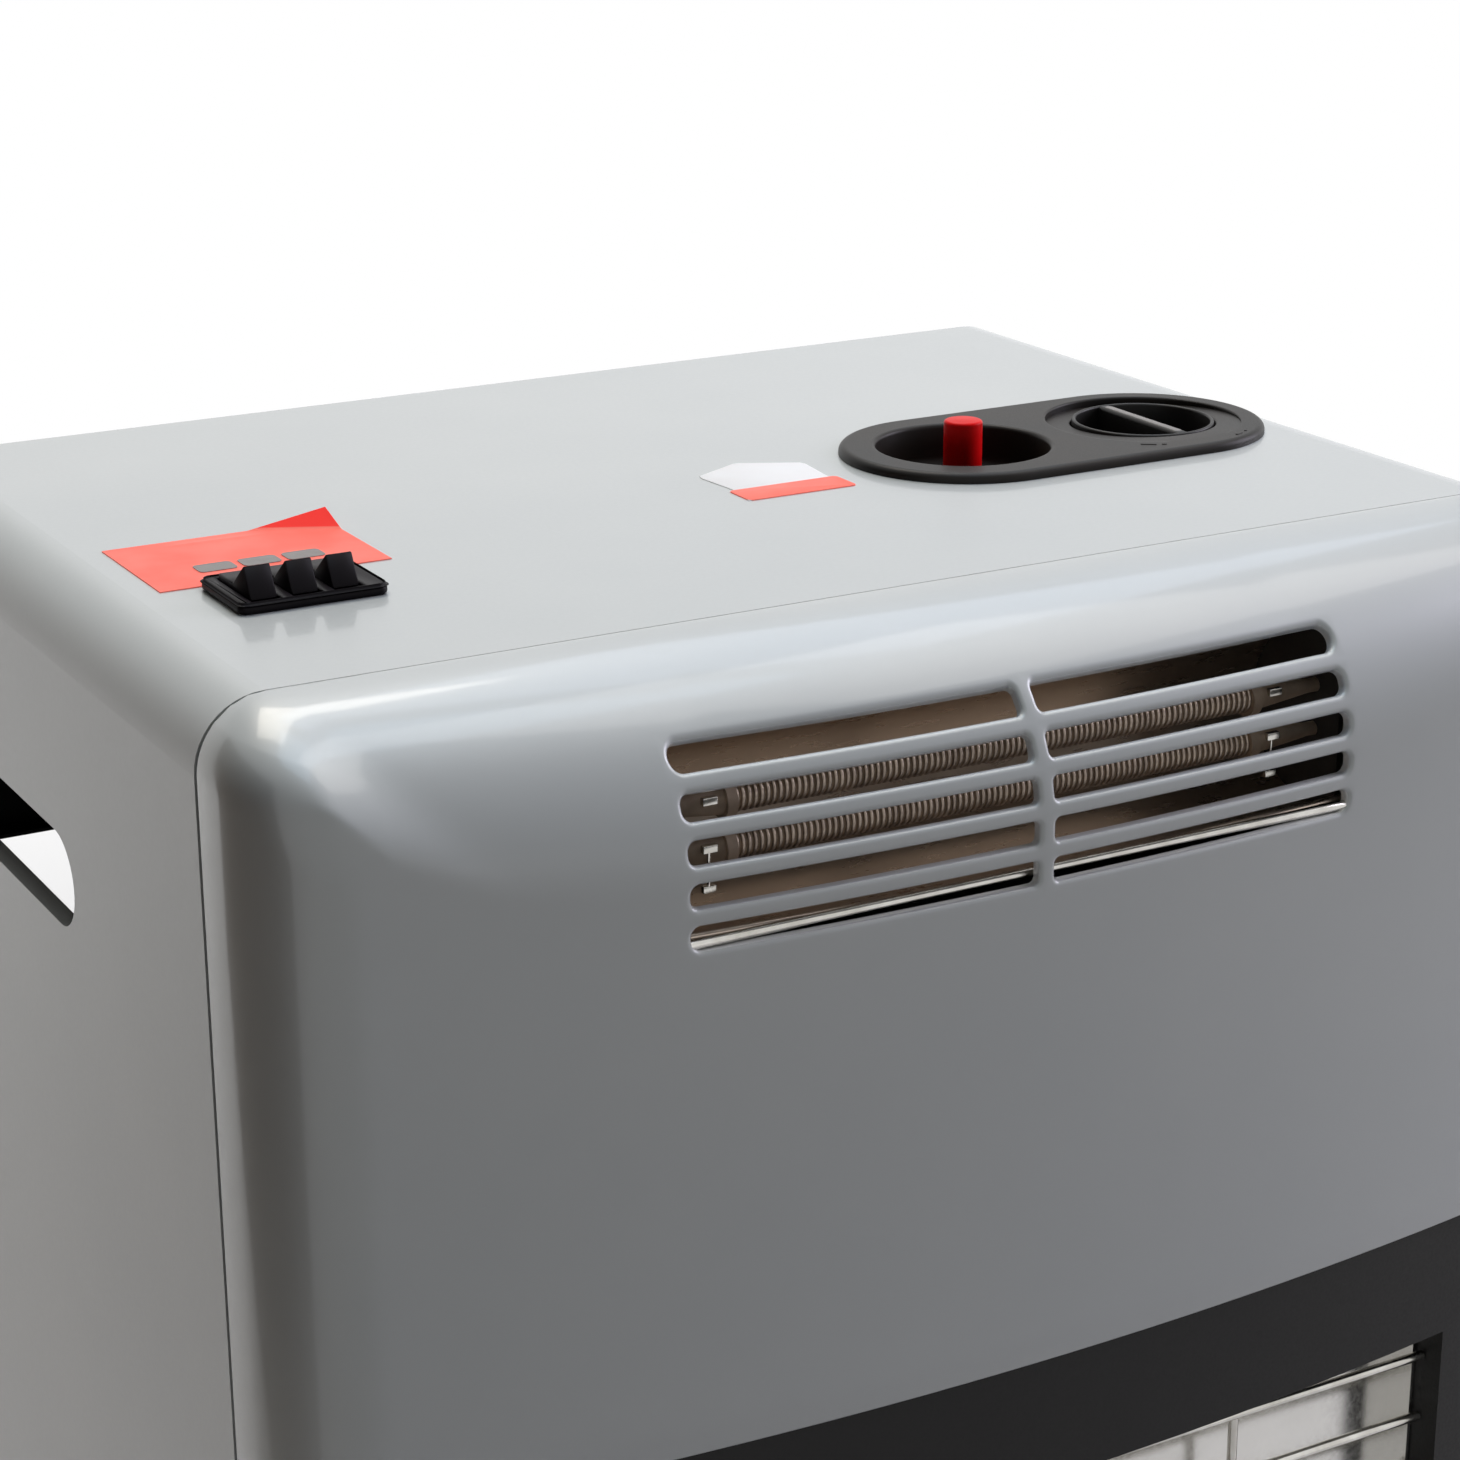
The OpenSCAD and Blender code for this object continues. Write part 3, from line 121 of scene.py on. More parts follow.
class HeaterSizes(bpy.types.PropertyGroup):
    """Sizes that a user would change"""
    edge_radius: length("Upper edge radius", "Radius of the long upper edges", 19.0)
    shoulder: length("Shoulder radius", "Radius between the top and the front of the cover", 53.0)
    bow: length("Bow radius", "Radius of the bow of the front, seen from above", 1250.0)
    slot_height: length("Slot height", "Height of one slot of the grille", 6.6)
    rim_roll: length("Slot rim radius", "Radius with which the rim of a slot rolls inwards", 1.5)
    winding_pitch: length("Winding pitch", "Distance between two turns of heating wire", 1.81)
    wire: length("Wire diameter", "Diameter of the heating wire", 1.05)


class HeaterColours(bpy.types.PropertyGroup):
    """Colours that a user would change, as sRGB hex"""
    lacquer: colour("Lacquer", "Silver lacquer of the housing", "c9ccca")
    lacquer_deep: colour("Lacquer shade", "Darker tone of the silver lacquer", "c1c5c4")
    enamel: colour("Enamel", "Black heat resistant enamel", "181716")
    plastic: colour("Control panel", "Satin moulding of the control panel", "1a140f")
    rocker: colour("Rockers", "Moulding of the rockers", "141014")
    button: colour("Button", "Igniter button", "fa1417")
    film: colour("Film", "Red protective film", "ff7866")
    film_tip: colour("Film tip", "Folded corner of the film", "ff0803")
    air: colour("Surroundings", "Tint of the light that comes from all around", "dfeaff")
    floor: colour("Floor", "Pale studio floor", "eceae7")


def sizes():
    """This heater's sizes, in metres."""
    return bpy.context.scene.heater_sizes


def colours():
    """This heater's colours, as sRGB hex."""
    return bpy.context.scene.heater_colours


def linear(text):
    """sRGB hex to linear RGBA."""
    parts = [int(text[i:i + 2], 16) / 255 for i in (0, 2, 4)]
    return [p / 12.92 if p <= 0.04045 else ((p + 0.055) / 1.055) ** 2.4 for p in parts] + [1.0]


# Material nodes

def add(tree, kind, inputs=None, **settings):
    """Adds a node with its settings; an input may be a value or another node's output."""
    node = tree.nodes.new(kind)
    for key, value in settings.items():
        setattr(node, key, value)
    for key, value in (inputs or {}).items():
        if isinstance(value, bpy.types.NodeSocket):
            tree.links.new(value, node.inputs[key])
        else:
            node.inputs[key].default_value = value
    return node


def new_material(name):
    """Empty material, its tree, and the object coordinates that every pattern reads."""
    mat = bpy.data.materials.new(name)
    mat.use_nodes = True
    tree = mat.node_tree
    tree.nodes.clear()
    place = add(tree, "ShaderNodeTexCoord").outputs["Object"]
    return mat, tree, place


def clouds(tree, place, patch, light, dark, detail=4.0, start=0.3, end=0.7):
    """Two tones in soft patches of a size in mm; gives the pattern and the tone."""
    pattern = add(tree, "ShaderNodeTexNoise", {
        "Vector": place, "Scale": 1 / (patch * MM), "Detail": detail, "Roughness": 0.55}).outputs["Fac"]
    share = add(tree, "ShaderNodeMapRange", {"Value": pattern, "From Min": start, "From Max": end})
    tone = add(tree, "ShaderNodeMix", {
        0: share.outputs[0], 6: linear(light), 7: linear(dark)}, data_type="RGBA")
    return pattern, tone.outputs[2]


def coat(tree, place, tone, grain, detail, depth, rough, dull=None, **shader):
    """Principled surface with a fine relief, both sizes in mm, and a roughness that follows a pattern."""
    fine = add(tree, "ShaderNodeTexNoise", {
        "Vector": place, "Scale": 1 / (grain * MM), "Detail": detail, "Roughness": 0.55}).outputs["Fac"]
    relief = add(tree, "ShaderNodeBump", {"Height": fine, "Distance": depth * MM, "Strength": 1.0})
    dull = add(tree, "ShaderNodeMapRange", {
        "Value": dull or fine, "From Min": 0.3, "From Max": 0.7, "To Min": rough[0], "To Max": rough[1]})
    body = add(tree, "ShaderNodeBsdfPrincipled", {
        "Base Color": tone, "Roughness": dull.outputs[0], "Normal": relief.outputs[0],
        **{key.replace("_", " "): value for key, value in shader.items()}})
    add(tree, "ShaderNodeOutputMaterial", {"Surface": body.outputs[0]})


def finish(name, light, dark, rough, patch, grain, depth, stretch=(1, 1, 1), **shader):
    """Material with two tones in patches, roughness that varies and a fine relief.

    patch and grain are feature sizes in mm, depth is the height of the relief in mm."""
    mat, tree, place = new_material(name)
    turned = add(tree, "ShaderNodeMapping", {"Vector": place, "Scale": stretch}).outputs[0]
    tone = clouds(tree, turned, patch, light, dark)[1]
    coat(tree, turned, tone, grain, 3.0, depth, rough, **shader)
    return mat


def film_finish():
    """Thin red polyester film over silver: salmon where it lies flat, clear red where it stands off.

    A faint red glow is painted in by emission, as painted light that lifts the red."""
    c = colours()
    mat, tree, place = new_material("red polyester film")
    cloudy, flat = clouds(tree, place, 26, c.film, "ff8e7e", 3.0, 0.35, 0.65)
    height = add(tree, "ShaderNodeSeparateXYZ", {0: place}).outputs["Z"]
    lifted = add(tree, "ShaderNodeMapRange", {
        "Value": height, "From Min": (TOP_Z + 0.62) * MM, "From Max": (TOP_Z + 0.9) * MM})
    tone = add(tree, "ShaderNodeMix", {
        0: lifted.outputs[0], 6: flat, 7: linear(c.film_tip)}, data_type="RGBA")
    # The emission is a painted glow that brightens the red of the film
    coat(tree, place, tone.outputs[2], 7, 2.0, 0.03, (0.3, 0.4), cloudy, Specular_IOR_Level=0.04,
         Emission_Color=(1.0, 0.1, 0.08, 1.0), Emission_Strength=0.22)
    return mat


def make_materials():
    """All finishes by slot name, and two that stand for a slot on some pieces."""
    c = colours()
    return {
        # Sprayed on sheet steel: soft sheen, faint orange peel
        "silver_lacquer": finish(
            "silver metallic lacquer", c.lacquer, c.lacquer_deep, (0.36, 0.44), 160, 1.6, 0.004,
            Metallic=0.1, Coat_Weight=0.5, Coat_Roughness=0.09),
        # The same lacquer, painted lighter over the drawn walls of the slots: a painted highlight where
        # the rims catch the light
        "rim_highlight_lacquer": finish(
            "silver lacquer with painted highlight", "f4f6f6", "e8ebeb", (0.3, 0.38), 40, 1.2, 0.003,
            Metallic=0.1, Coat_Weight=0.8, Coat_Roughness=0.12),
        # Heat resistant: semi-matte with a fine pebble
        "black_enamel": finish(
            "black enamel", c.enamel, "121111", (0.42, 0.55), 60, 0.9, 0.01, Specular_IOR_Level=0.2),
        # Cool grey with cloudy spangle
        "zinc_steel": finish(
            "zinc plated steel", "b3b4b1", "a2a49f", (0.34, 0.46), 18, 1.2, 0.003, Metallic=1.0),
        # Sheet of the burner's frame: clean, with a faint cloud
        "burner_sheet": finish(
            "aluminised steel", "dddcd8", "cfcdc8", (0.16, 0.24), 70, 1.4, 0.002, Metallic=1.0),
        # Wire and screws: near mirror
        "bright_steel": finish(
            "bright plated steel", "d2d0cb", "b4b1aa", (0.14, 0.24), 9, 0.8, 0.004, Metallic=1.0),
        # Rolled sheet, tinted brown by heat, with lines along its length
        "reflector_steel": finish(
            "heat tinted stainless steel", "c9baac", "bbac9e", (0.26, 0.32), 40, 2.4, 0.0002,
            (0.2, 1, 1), Metallic=0.9),
        # Sprayed and baked: dull and grainy
        "dark_steel": finish("dark heat paint", "2b2926", "1d1b19", (0.5, 0.62), 20, 0.8, 0.012),
        # Fired without glaze: warm and dry
        "element_ceramic": finish("unglazed ceramic", "c9b29a", "a8927c", (0.6, 0.75), 9, 0.7, 0.03),
        # Metal that has gone brown grey in use
        "heating_wire": finish(
            "oxidised resistance wire", "b9aa9b", "93857a", (0.3, 0.42), 6, 0.5, 0.004, Metallic=0.8),
        # Pressed and fired: chalky
        "plaque_ceramic": finish("ceramic plaque", "fbf3e4", "f0e6d4", (0.7, 0.85), 30, 0.8, 0.03),
        # Fired with glaze: smooth and glossy
        "electrode_ceramic": finish("glazed ceramic", "efece4", "e2ded3", (0.12, 0.2), 12, 1.0, 0.003),
        # Mouldings with a fine spark-eroded texture
        "bezel_plastic": finish(
            "satin black moulding", c.plastic, "0d0c0b", (0.36, 0.44), 30, 0.35, 0.004,
            Specular_IOR_Level=0.17),
        "rocker_plastic": finish(
            "rocker moulding", c.rocker, "0f0c10", (0.36, 0.44), 14, 0.35, 0.003,
            Specular_IOR_Level=0.08),
        "knob_plastic": finish(
            "knob moulding", "141211", "0d0c0b", (0.36, 0.44), 16, 0.35, 0.003,
            Specular_IOR_Level=0.25),
        # Moulded without a surface finish: dull
        "inner_plastic": finish("moulded nylon", "222324", "191a1b", (0.45, 0.55), 20, 0.6, 0.01),
        # Smooth moulding with a saturated colour
        "button_red": finish(
            "glossy red moulding", c.button, "f4060a", (0.3, 0.36), 8, 0.5, 0.002,
            Specular_IOR_Level=0.07),
        # Turned: lines round its axis
        "brass_parts": finish(
            "machined brass", "d3b064", "b8934a", (0.2, 0.34), 12, 0.3, 0.004, (1, 1, 4), Metallic=1.0),
        # Drawn tube, dulled by handling
        "copper_pipe": finish(
            "drawn copper", "d08c62", "a8683f", (0.25, 0.4), 16, 0.8, 0.006, Metallic=1.0),
        "film_red": film_finish(),
        # Matt ink
        "mark_grey": finish("grey print", "8a8581", "7b7673", (0.4, 0.5), 8, 0.5, 0.004),
        # Smooth coated stock with a faint fibre
        "label_white": finish("coated paper", "ffffff", "fbf9f8", (0.35, 0.5), 18, 0.8, 0.006),
        # Hard rubber: dull
        "wheel_rubber": finish("moulded wheel", "2a2a2d", "1d1d20", (0.5, 0.65), 14, 0.9, 0.03),
    }


MATERIALS = {}


def paint(node, material):
    """Gives a solid that stays its finish."""
    o = NODES[node]
    o.data.materials.clear()
    o.data.materials.append(MATERIALS[material])


# Mesh helpers, in millimetres

def mesh_of(name, points, faces):
    """Mesh from points in millimetres."""
    mesh = bpy.data.meshes.new(name)
    mesh.from_pydata([[v * MM for v in p] for p in points], [], faces)
    return mesh


def linked(name, mesh):
    """New object in the scene."""
    o = bpy.data.objects.new(name, mesh)
    bpy.context.scene.collection.objects.link(o)
    return o


def piece(name, skin, body, slot, material=None, smooth=35.0, replaces=(), mend=False, wall=0.0):
    """Makes a piece that rides on a body, from a mesh or from a skin: points in millimetres, and faces.

    mend merges doubles and turns the faces outwards; wall gives an open skin its thickness in mm."""
    mesh = mesh_of(name, *skin) if isinstance(skin, tuple) else skin
    if mend:
        outward(mesh)
    if wall:
        mesh = thickened(mesh, wall)
    mesh.validate()
    mesh.shade_smooth()
    if smooth < 180:
        mesh.set_sharp_from_angle(angle=math.radians(smooth))
    mesh.materials.clear()
    mesh.materials.append(MATERIALS[material or slot])
    o = linked(name, mesh)
    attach(o, body)
    if replaces:
        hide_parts(*replaces)


def outward(mesh):
    """Merges doubles and points the faces of a closed skin outwards."""
    work = bmesh.new()
    work.from_mesh(mesh)
    bmesh.ops.remove_doubles(work, verts=work.verts, dist=1e-6)
    bmesh.ops.recalc_face_normals(work, faces=work.faces)
    work.to_mesh(mesh)
    work.free()


def thickened(mesh, depth):
    """Gives an open skin its thickness in mm, inwards."""
    o = linked("thin", mesh)
    wall = o.modifiers.new("wall", "SOLIDIFY")
    wall.thickness = depth * MM
    wall.offset = -1.0
    wall.use_even_offset = True
    wall.thickness_clamp = 0.9
    return baked(o)


def quads(rows, closed=False):
    """Faces between rows of point numbers of equal length; closed rows join up."""
    faces = []
    for a, b in zip(rows, rows[1:]):
        n = len(a)
        for i in range(n if closed else n - 1):
            j = (i + 1) % n
            faces.append((a[i], a[j], b[j], b[i]))
    return faces


def lathe(profile, x, y, around=64):
    """Turned solid about an upright axis from (radius, height) pairs; ends of radius 0 are closed."""
    points, rows = [], []
    for r, z in profile:
        if r < 1e-6:
            points.append((x, y, z))
            rows.append([len(points) - 1] * (around + 1))
            continue
        first = len(points)
        for i in range(around):
            a = 2 * math.pi * i / around
            points.append((x + r * math.cos(a), y + r * math.sin(a), z))
        rows.append(list(range(first, first + around)) + [first])
    faces = [tuple(dict.fromkeys(f)) for f in quads(rows)]
    return points, [f for f in faces if len(f) > 2]


def arc(cx, cz, r, start, end, steps=5):
    """Points of an arc in degrees, as (radius, height) pairs."""
    turns = [math.radians(start + (end - start) * k / steps) for k in range(steps + 1)]
    return [(cx + r * math.cos(a), cz + r * math.sin(a)) for a in turns]


def ring_stack(rings):
    """Skin over rings with equally many points, with its two ends capped."""
    n = len(rings[0])
    rows = [list(range(k * n, k * n + n)) for k in range(len(rings))]
    return [p for ring in rings for p in ring], quads(rows, True) + [tuple(rows[0]), tuple(rows[-1])]


def joined(*skins):
    """Several skins as one list of points and one of faces."""
    points, faces = [], []
    for more_points, more_faces in skins:
        faces += [tuple(i + len(points) for i in f) for f in more_faces]
        points += more_points
    return points, faces


def bar(path, radius, around, ease):
    """Round bar along a path, its ends eased."""
    path = [Vector(p) for p in path]
    first, last = (path[1] - path[0]).normalized(), (path[-1] - path[-2]).normalized()
    path = ([path[0], path[0] + first * ease * 0.3, path[0] + first * ease] + path[1:-1]
            + [path[-1] - last * ease, path[-1] - last * ease * 0.3, path[-1]])
    ends = [radius - ease, radius - ease * 0.3]
    rings = []
    side = None
    for k, (p, r) in enumerate(zip(path, ends + [radius] * (len(path) - 4) + ends[::-1])):
        ahead = (path[min(k + 1, len(path) - 1)] - path[max(k - 1, 0)]).normalized()
        side = side or ahead.orthogonal().normalized()
        side = (side - ahead * side.dot(ahead)).normalized()
        other = ahead.cross(side)
        rings.append([tuple(p + (side * math.cos(a) + other * math.sin(a)) * r)
                      for a in (2 * math.pi * i / around for i in range(around))])
    return ring_stack(rings)


def round_plan(x0, x1, y0, y1, r, steps=6):
    """Function that gives a rounded rectangle, drawn in by an inset."""
    def plan(inset=0.0):
        q = max(r - inset, 0.02)
        left, right, front, rear = x0 + inset + q, x1 - inset - q, y0 + inset + q, y1 - inset - q
        middles = (right, rear), (left, rear), (left, front), (right, front)
        ring = []
        for k, (cx, cy) in enumerate(middles):
            ring += arc(cx, cy, q, 90 * k, 90 * k + 90, steps)
        return ring
    return plan


def slab(plan, low, high, ease, steps=3):
    """Flat piece with its upper edge rounded by ease."""
    rings = [[(x, y, low) for x, y in plan(0.0)]]
    for k in range(steps + 1):
        a = math.pi / 2 * k / steps
        height = high - ease + ease * math.sin(a)
        rings.append([(x, y, height) for x, y in plan(ease * (1 - math.cos(a)))])
    return ring_stack(rings)


# Geometry Nodes helpers

def new_tree(name, **inputs):
    """Geometry Nodes tree with named inputs; gives the tree, its inputs and its output."""
    tree = bpy.data.node_groups.new(name, "GeometryNodeTree")
    tree.interface.new_socket("Geometry", in_out="INPUT", socket_type="NodeSocketGeometry")
    kinds = {int: "NodeSocketInt", float: "NodeSocketFloat", tuple: "NodeSocketVector"}
    for key, value in inputs.items():
        made = tree.interface.new_socket(
            key, in_out="INPUT", socket_type=kinds.get(type(value), "NodeSocketMaterial"))
        if value is not None:
            made.default_value = value
    tree.interface.new_socket("Geometry", in_out="OUTPUT", socket_type="NodeSocketGeometry")
    return tree, add(tree, "NodeGroupInput").outputs, add(tree, "NodeGroupOutput")


def leave_with(tree, leave, geometry, material):
    """Ends a tree in Realize Instances and Set Material."""
    real = add(tree, "GeometryNodeRealizeInstances", {0: geometry})
    dressed = add(tree, "GeometryNodeSetMaterial", {"Geometry": real.outputs[0], "Material": material})
    tree.links.new(dressed.outputs[0], leave.inputs[0])


def grown(tree, base=None, **values):
    """Plain mesh from a tree, with its inputs set by their identifiers."""
    o = linked("growing", base or bpy.data.meshes.new("seed"))
    modifier = o.modifiers.new("grow", "NODES")
    modifier.node_group = tree
    for item in tree.interface.items_tree:
        if item.in_out == "INPUT" and item.name in values:
            modifier[item.identifier] = values[item.name]
    return baked(o)


def baked(o):
    """Replaces an object's live modifiers by their result."""
    depsgraph = bpy.context.evaluated_depsgraph_get()
    mesh = bpy.data.meshes.new_from_object(o.evaluated_get(depsgraph))
    bpy.data.objects.remove(o)
    return mesh


def eased(node, width, body="cabinet", segments=3, material=None):
    """Copy of a solid with its sharp edges rounded by width, in mm; it stands for the solid."""
    mesh = NODES[node].data.copy()
    work = bmesh.new()
    work.from_mesh(mesh)
    bmesh.ops.remove_doubles(work, verts=work.verts, dist=2e-6)
    bmesh.ops.dissolve_limit(work, angle_limit=math.radians(0.6), verts=work.verts, edges=work.edges)
    work.to_mesh(mesh)
    work.free()
    o = linked(node + "_work", mesh)
    bevel = o.modifiers.new("ease", "BEVEL")
    bevel.width = width * MM
    bevel.segments = segments
    bevel.limit_method = "ANGLE"
    bevel.angle_limit = math.radians(28.0)
    bevel.use_clamp_overlap = False
    weigh = o.modifiers.new("weigh", "WEIGHTED_NORMAL")
    weigh.keep_sharp = False
    piece(node + "_eased", baked(o), body, SLOTS[node], material, 60.0, (node,))


# Front cover

def round_max(a, b, r):
    """Meeting of two signed distances with a rounding of radius r."""
    a, b = a + r, b + r
    if a > 0 and b > 0:
        return math.hypot(a, b) - r
    return max(a, b) - r


class CoverShape:
    """Outer face of the pressed front cover: a bow with a shoulder and round corners."""

    def __init__(self):
        s = sizes()
        self.edge = s.edge_radius / MM
        self.shoulder = s.shoulder / MM
        self.bow = s.bow / MM
        self.bow_y = FACE_Y + self.bow
        self.back = COVER_HIGH[1]

    def front(self, x, y):
        """Signed distance to the bow alone."""
        return math.hypot(x, y - self.bow_y) - self.bow

    def gap(self, x, y, z):
        """Signed distance to the face, negative inside."""
        side = abs(x) - HALF_W
        top = z - TOP_Z
        rim = round_max(side, top, self.edge)
        share = min(1.0, max(0.0, 0.5 + (top - side) / BLEND))
        share = share * share * (3 - 2 * share)
        depth = -self.front(x, self.back) - 0.6
        radius = CORNER + (min(self.shoulder, depth) - CORNER) * share
        return round_max(rim, self.front(x, y), radius)

    def face_y(self, x, z):
        """Depth of the face at a point of the front view."""
        low, high = FACE_Y - 1.0, self.back
        if self.gap(x, high, z) > 0:
            return high
        for _ in range(34):
            mid = (low + high) / 2
            if self.gap(x, mid, z) > 0:
                low = mid
            else:
                high = mid
        return high

    def normal(self, p):
        """Outward direction at a point near the face."""
        e = 0.02
        g = [self.gap(*(p[k] + (e if k == i else 0) for k in range(3)))
             - self.gap(*(p[k] - (e if k == i else 0) for k in range(3))) for i in range(3)]
        return Vector(g).normalized()


class Grid:
    """Points and faces of a mesh that is made row by row."""

    def __init__(self):
        self.points, self.faces = [], []

    def row(self, points):
        """Adds points and gives their numbers."""
        first = len(self.points)
        self.points += [tuple(p) for p in points]
        return list(range(first, len(self.points)))


def slot_target(px, pz, hx, hz, radii):
    """Base point and direction of the slot's outline for a point of its cell."""
    sx, sz = (1 if px >= 0 else -1), (1 if pz >= 0 else -1)
    r = radii[(sx, sz)]
    cx, cz = sx * (hx - r), sz * (hz - r)
    if abs(px) <= abs(cx):
        return (px, cz), (0.0, sz), r
    if abs(pz) <= abs(cz):
        return (cx, pz), (sx, 0.0), r
    dx, dz = px - cx, pz - cz
    n = math.hypot(dx, dz)
    return (cx, cz), (dx / n, dz / n), r


class CoverSkin(Grid):
    """Skin of the front cover, laid out over its front view."""

    def __init__(self):
        super().__init__()
        self.shape = CoverShape()
        self.known = {}
        self.low_z = COVER_LOW[2] + FOOT_R
        # Upright lines, closer together at the ends of the slots
        cells = SLOT_HALF + SLOT_EDGE
        ends = [0.7 * i for i in range(10)]
        half = ends + [ends[-1] + (cells - 2 * ends[-1]) * i / 20 for i in range(21)]
        half += [cells - e for e in reversed(ends[:-1])]
        half += [cells + (PLAIN_HALF - cells) * i / PLAIN_LINES for i in range(1, PLAIN_LINES + 1)]
        self.xs = [-v for v in reversed(half)][:-1] + half
        self.cells = [self.xs.index(x) for x in (-cells, 0.0, cells)]
        # Level lines
        top = TOP_Z - SLOT_DROP + SLOT_PITCH / 2
        zs = [top - SLOT_PITCH * i / CELL_LINES for i in range(CELL_LINES * SLOT_ROWS + 1)]
        rest = self.low_z - zs[-1]
        self.zs = zs + [zs[-1] + rest * i / PLAIN_LINES for i in range(1, PLAIN_LINES + 1)]

    def face(self, x, z):
        """Number of the point of the face at a place of the front view."""
        key = (round(x, 4), round(z, 4))
        if key not in self.known:
            self.known[key] = self.row([(x, self.shape.face_y(x, z), z)])[0]
        return self.known[key]

    def plain(self):
        """Front without the cells of the slots."""
        for j, (z0, z1) in enumerate(zip(self.zs, self.zs[1:])):
            for i, (x0, x1) in enumerate(zip(self.xs, self.xs[1:])):
                if j >= CELL_LINES * SLOT_ROWS or not self.cells[0] <= i < self.cells[2]:
                    a, b, c, d = (self.face(*p) for p in ((x0, z0), (x1, z0), (x0, z1), (x1, z1)))
                    self.faces.append((a, c, d, b))

    def slots(self):
        """Cells with a slot each; gives the walls, which get a lighter lacquer as a painted highlight."""
        roll = sizes().rim_roll / MM
        hz = sizes().slot_height / MM / 2
        # Rings of a slot as distance from its outline and depth: the rolled rim, then the wall
        turns = [math.radians(15 * k) for k in range(7)]
        rings = [(roll * (1 - math.sin(t)), roll * (1 - math.cos(t))) for t in turns]
        rings += [(0.0, roll + 0.7), (0.0, 3.1)]
        first_wall, rims = 4, Grid()
        for row in range(SLOT_ROWS):
            mid_z = TOP_Z - SLOT_DROP - row * SLOT_PITCH
            for side in (-1, 1):
                x0, x1 = sorted((side * SLOT_BAR / 2, side * SLOT_HALF))
                mid_x, hx = (x0 + x1) / 2, (x1 - x0) / 2
                # The outer ends are round along the grille's upper and lower edges
                radii = {}
                for sz in (-1, 1):
                    round_end = row == 0 or (row == SLOT_ROWS - 1 and sz == -1)
                    radii[(side, sz)] = hz - 0.01 if round_end else SLOT_END_R
                    radii[(-side, sz)] = SLOT_BAR_R
                i0, i1 = self.cells[:2] if side < 0 else self.cells[1:]
                j0, j1 = row * CELL_LINES, (row + 1) * CELL_LINES
                rim = [(i, j0) for i in range(i0, i1)] + [(i1, j) for j in range(j0, j1)]
                rim += [(i, j1) for i in range(i1, i0, -1)] + [(i0, j) for j in range(j1, j0, -1)]
                rim = [(self.xs[i], self.zs[j]) for i, j in rim]
                rows, walls = [[self.face(x, z) for x, z in rim]], []
                targets = [slot_target(x - mid_x, z - mid_z, hx, hz, radii) for x, z in rim]
                for k, (out, deep) in enumerate(rings):
                    spots = []
                    for (cx, cz), (dx, dz), r in targets:
                        x, z = mid_x + cx + dx * (r + out), mid_z + cz + dz * (r + out)
                        p = Vector((x, self.shape.face_y(x, z), z))
                        spots.append(p - self.shape.normal(p) * deep if deep else p)
                    if k <= first_wall:
                        rows.append(self.row(spots))
                    if k >= first_wall:
                        walls.append(rims.row(spots))
                self.faces += [f[::-1] for f in quads(rows, True)]
                rims.faces += [f[::-1] for f in quads(walls, True)]
        return rims

    def seam(self, t):
        """Point and outward direction of the outline along the seam.

        t runs from -2 to -1 up the left side, to 1 along the top and to 2 down the right side."""
        edge = self.shape.edge
        sign, t = (1 if t > 0 else -1), abs(t)
        side, flat, half_bend = TOP_Z - edge - self.low_z, HALF_W - edge, math.pi / 4 * edge
        if t >= 1:
            run = (2 - t) * (side + half_bend)
            if run <= side:
                return (sign * HALF_W, self.low_z + run), (sign, 0.0)
            turn = (run - side) / edge
        else:
            run = t * (flat + half_bend)
            if run <= flat:
                return (sign * run, TOP_Z), (0.0, 1.0)
            turn = math.pi / 2 - (run - flat) / edge
        cos, sin = math.cos(turn), math.sin(turn)
        return (sign * (flat + edge * cos), TOP_Z - edge + edge * sin), (sign * cos, sin)

    def skirt(self):
        """Shoulder and corners out to the seam, round the two sides and the top."""
        xs, zs, shape = self.xs, self.zs, self.shape
        inner = [(xs[0], z) for z in reversed(zs)] + [(x, zs[0]) for x in xs[1:]]
        inner += [(xs[-1], z) for z in zs[1:]]
        tall = zs[0] - self.low_z
        marks = [-2 + (z - self.low_z) / tall for z in reversed(zs)] + [x / xs[-1] for x in xs[1:]]
        targets = [self.seam(t) for t in marks + [1 + (zs[0] - z) / tall for z in zs[1:]]]
        rows = [[self.face(x, z) for x, z in inner]]
        steps = 22
        for k in range(1, steps):
            # Closer together towards the outline, where the face turns back
            part = math.sin(math.pi / 2 * k / steps)
            line = [(x + (ox - x) * part, z + (oz - z) * part)
                    for (x, z), ((ox, oz), _) in zip(inner, targets)]
            rows.append(self.row((x, shape.face_y(x, z), z) for x, z in line))
        rows.append(self.row(
            (ox, min(shape.face_y(ox - dx * 1e-3, oz - dz * 1e-3), shape.back - 2.0), oz)
            for (ox, oz), (dx, dz) in targets))
        # Rear edge, eased and turned in
        for turn, deep in ((0.0, 0.0), (0.3, 0.0), (0.6, 0.0), (0.85, 0.0), (1.0, 0.0), (1.0, 9.0)):
            line = []
            for (ox, oz), (dx, dz) in targets:
                # A small edge along the top, a rounder one down the sides
                topness = max(0.0, dz) ** 3
                ease = 1.3 - 1.1 * topness
                inset = ease * (1 - math.cos(turn * math.pi / 2)) + deep
                y = shape.back - ease * (1 - math.sin(turn * math.pi / 2)) + TOP_REACH * topness
                line.append((ox - dx * inset, y, oz - dz * inset))
            rows.append(self.row(line))
        self.faces += quads(rows)
        return rows

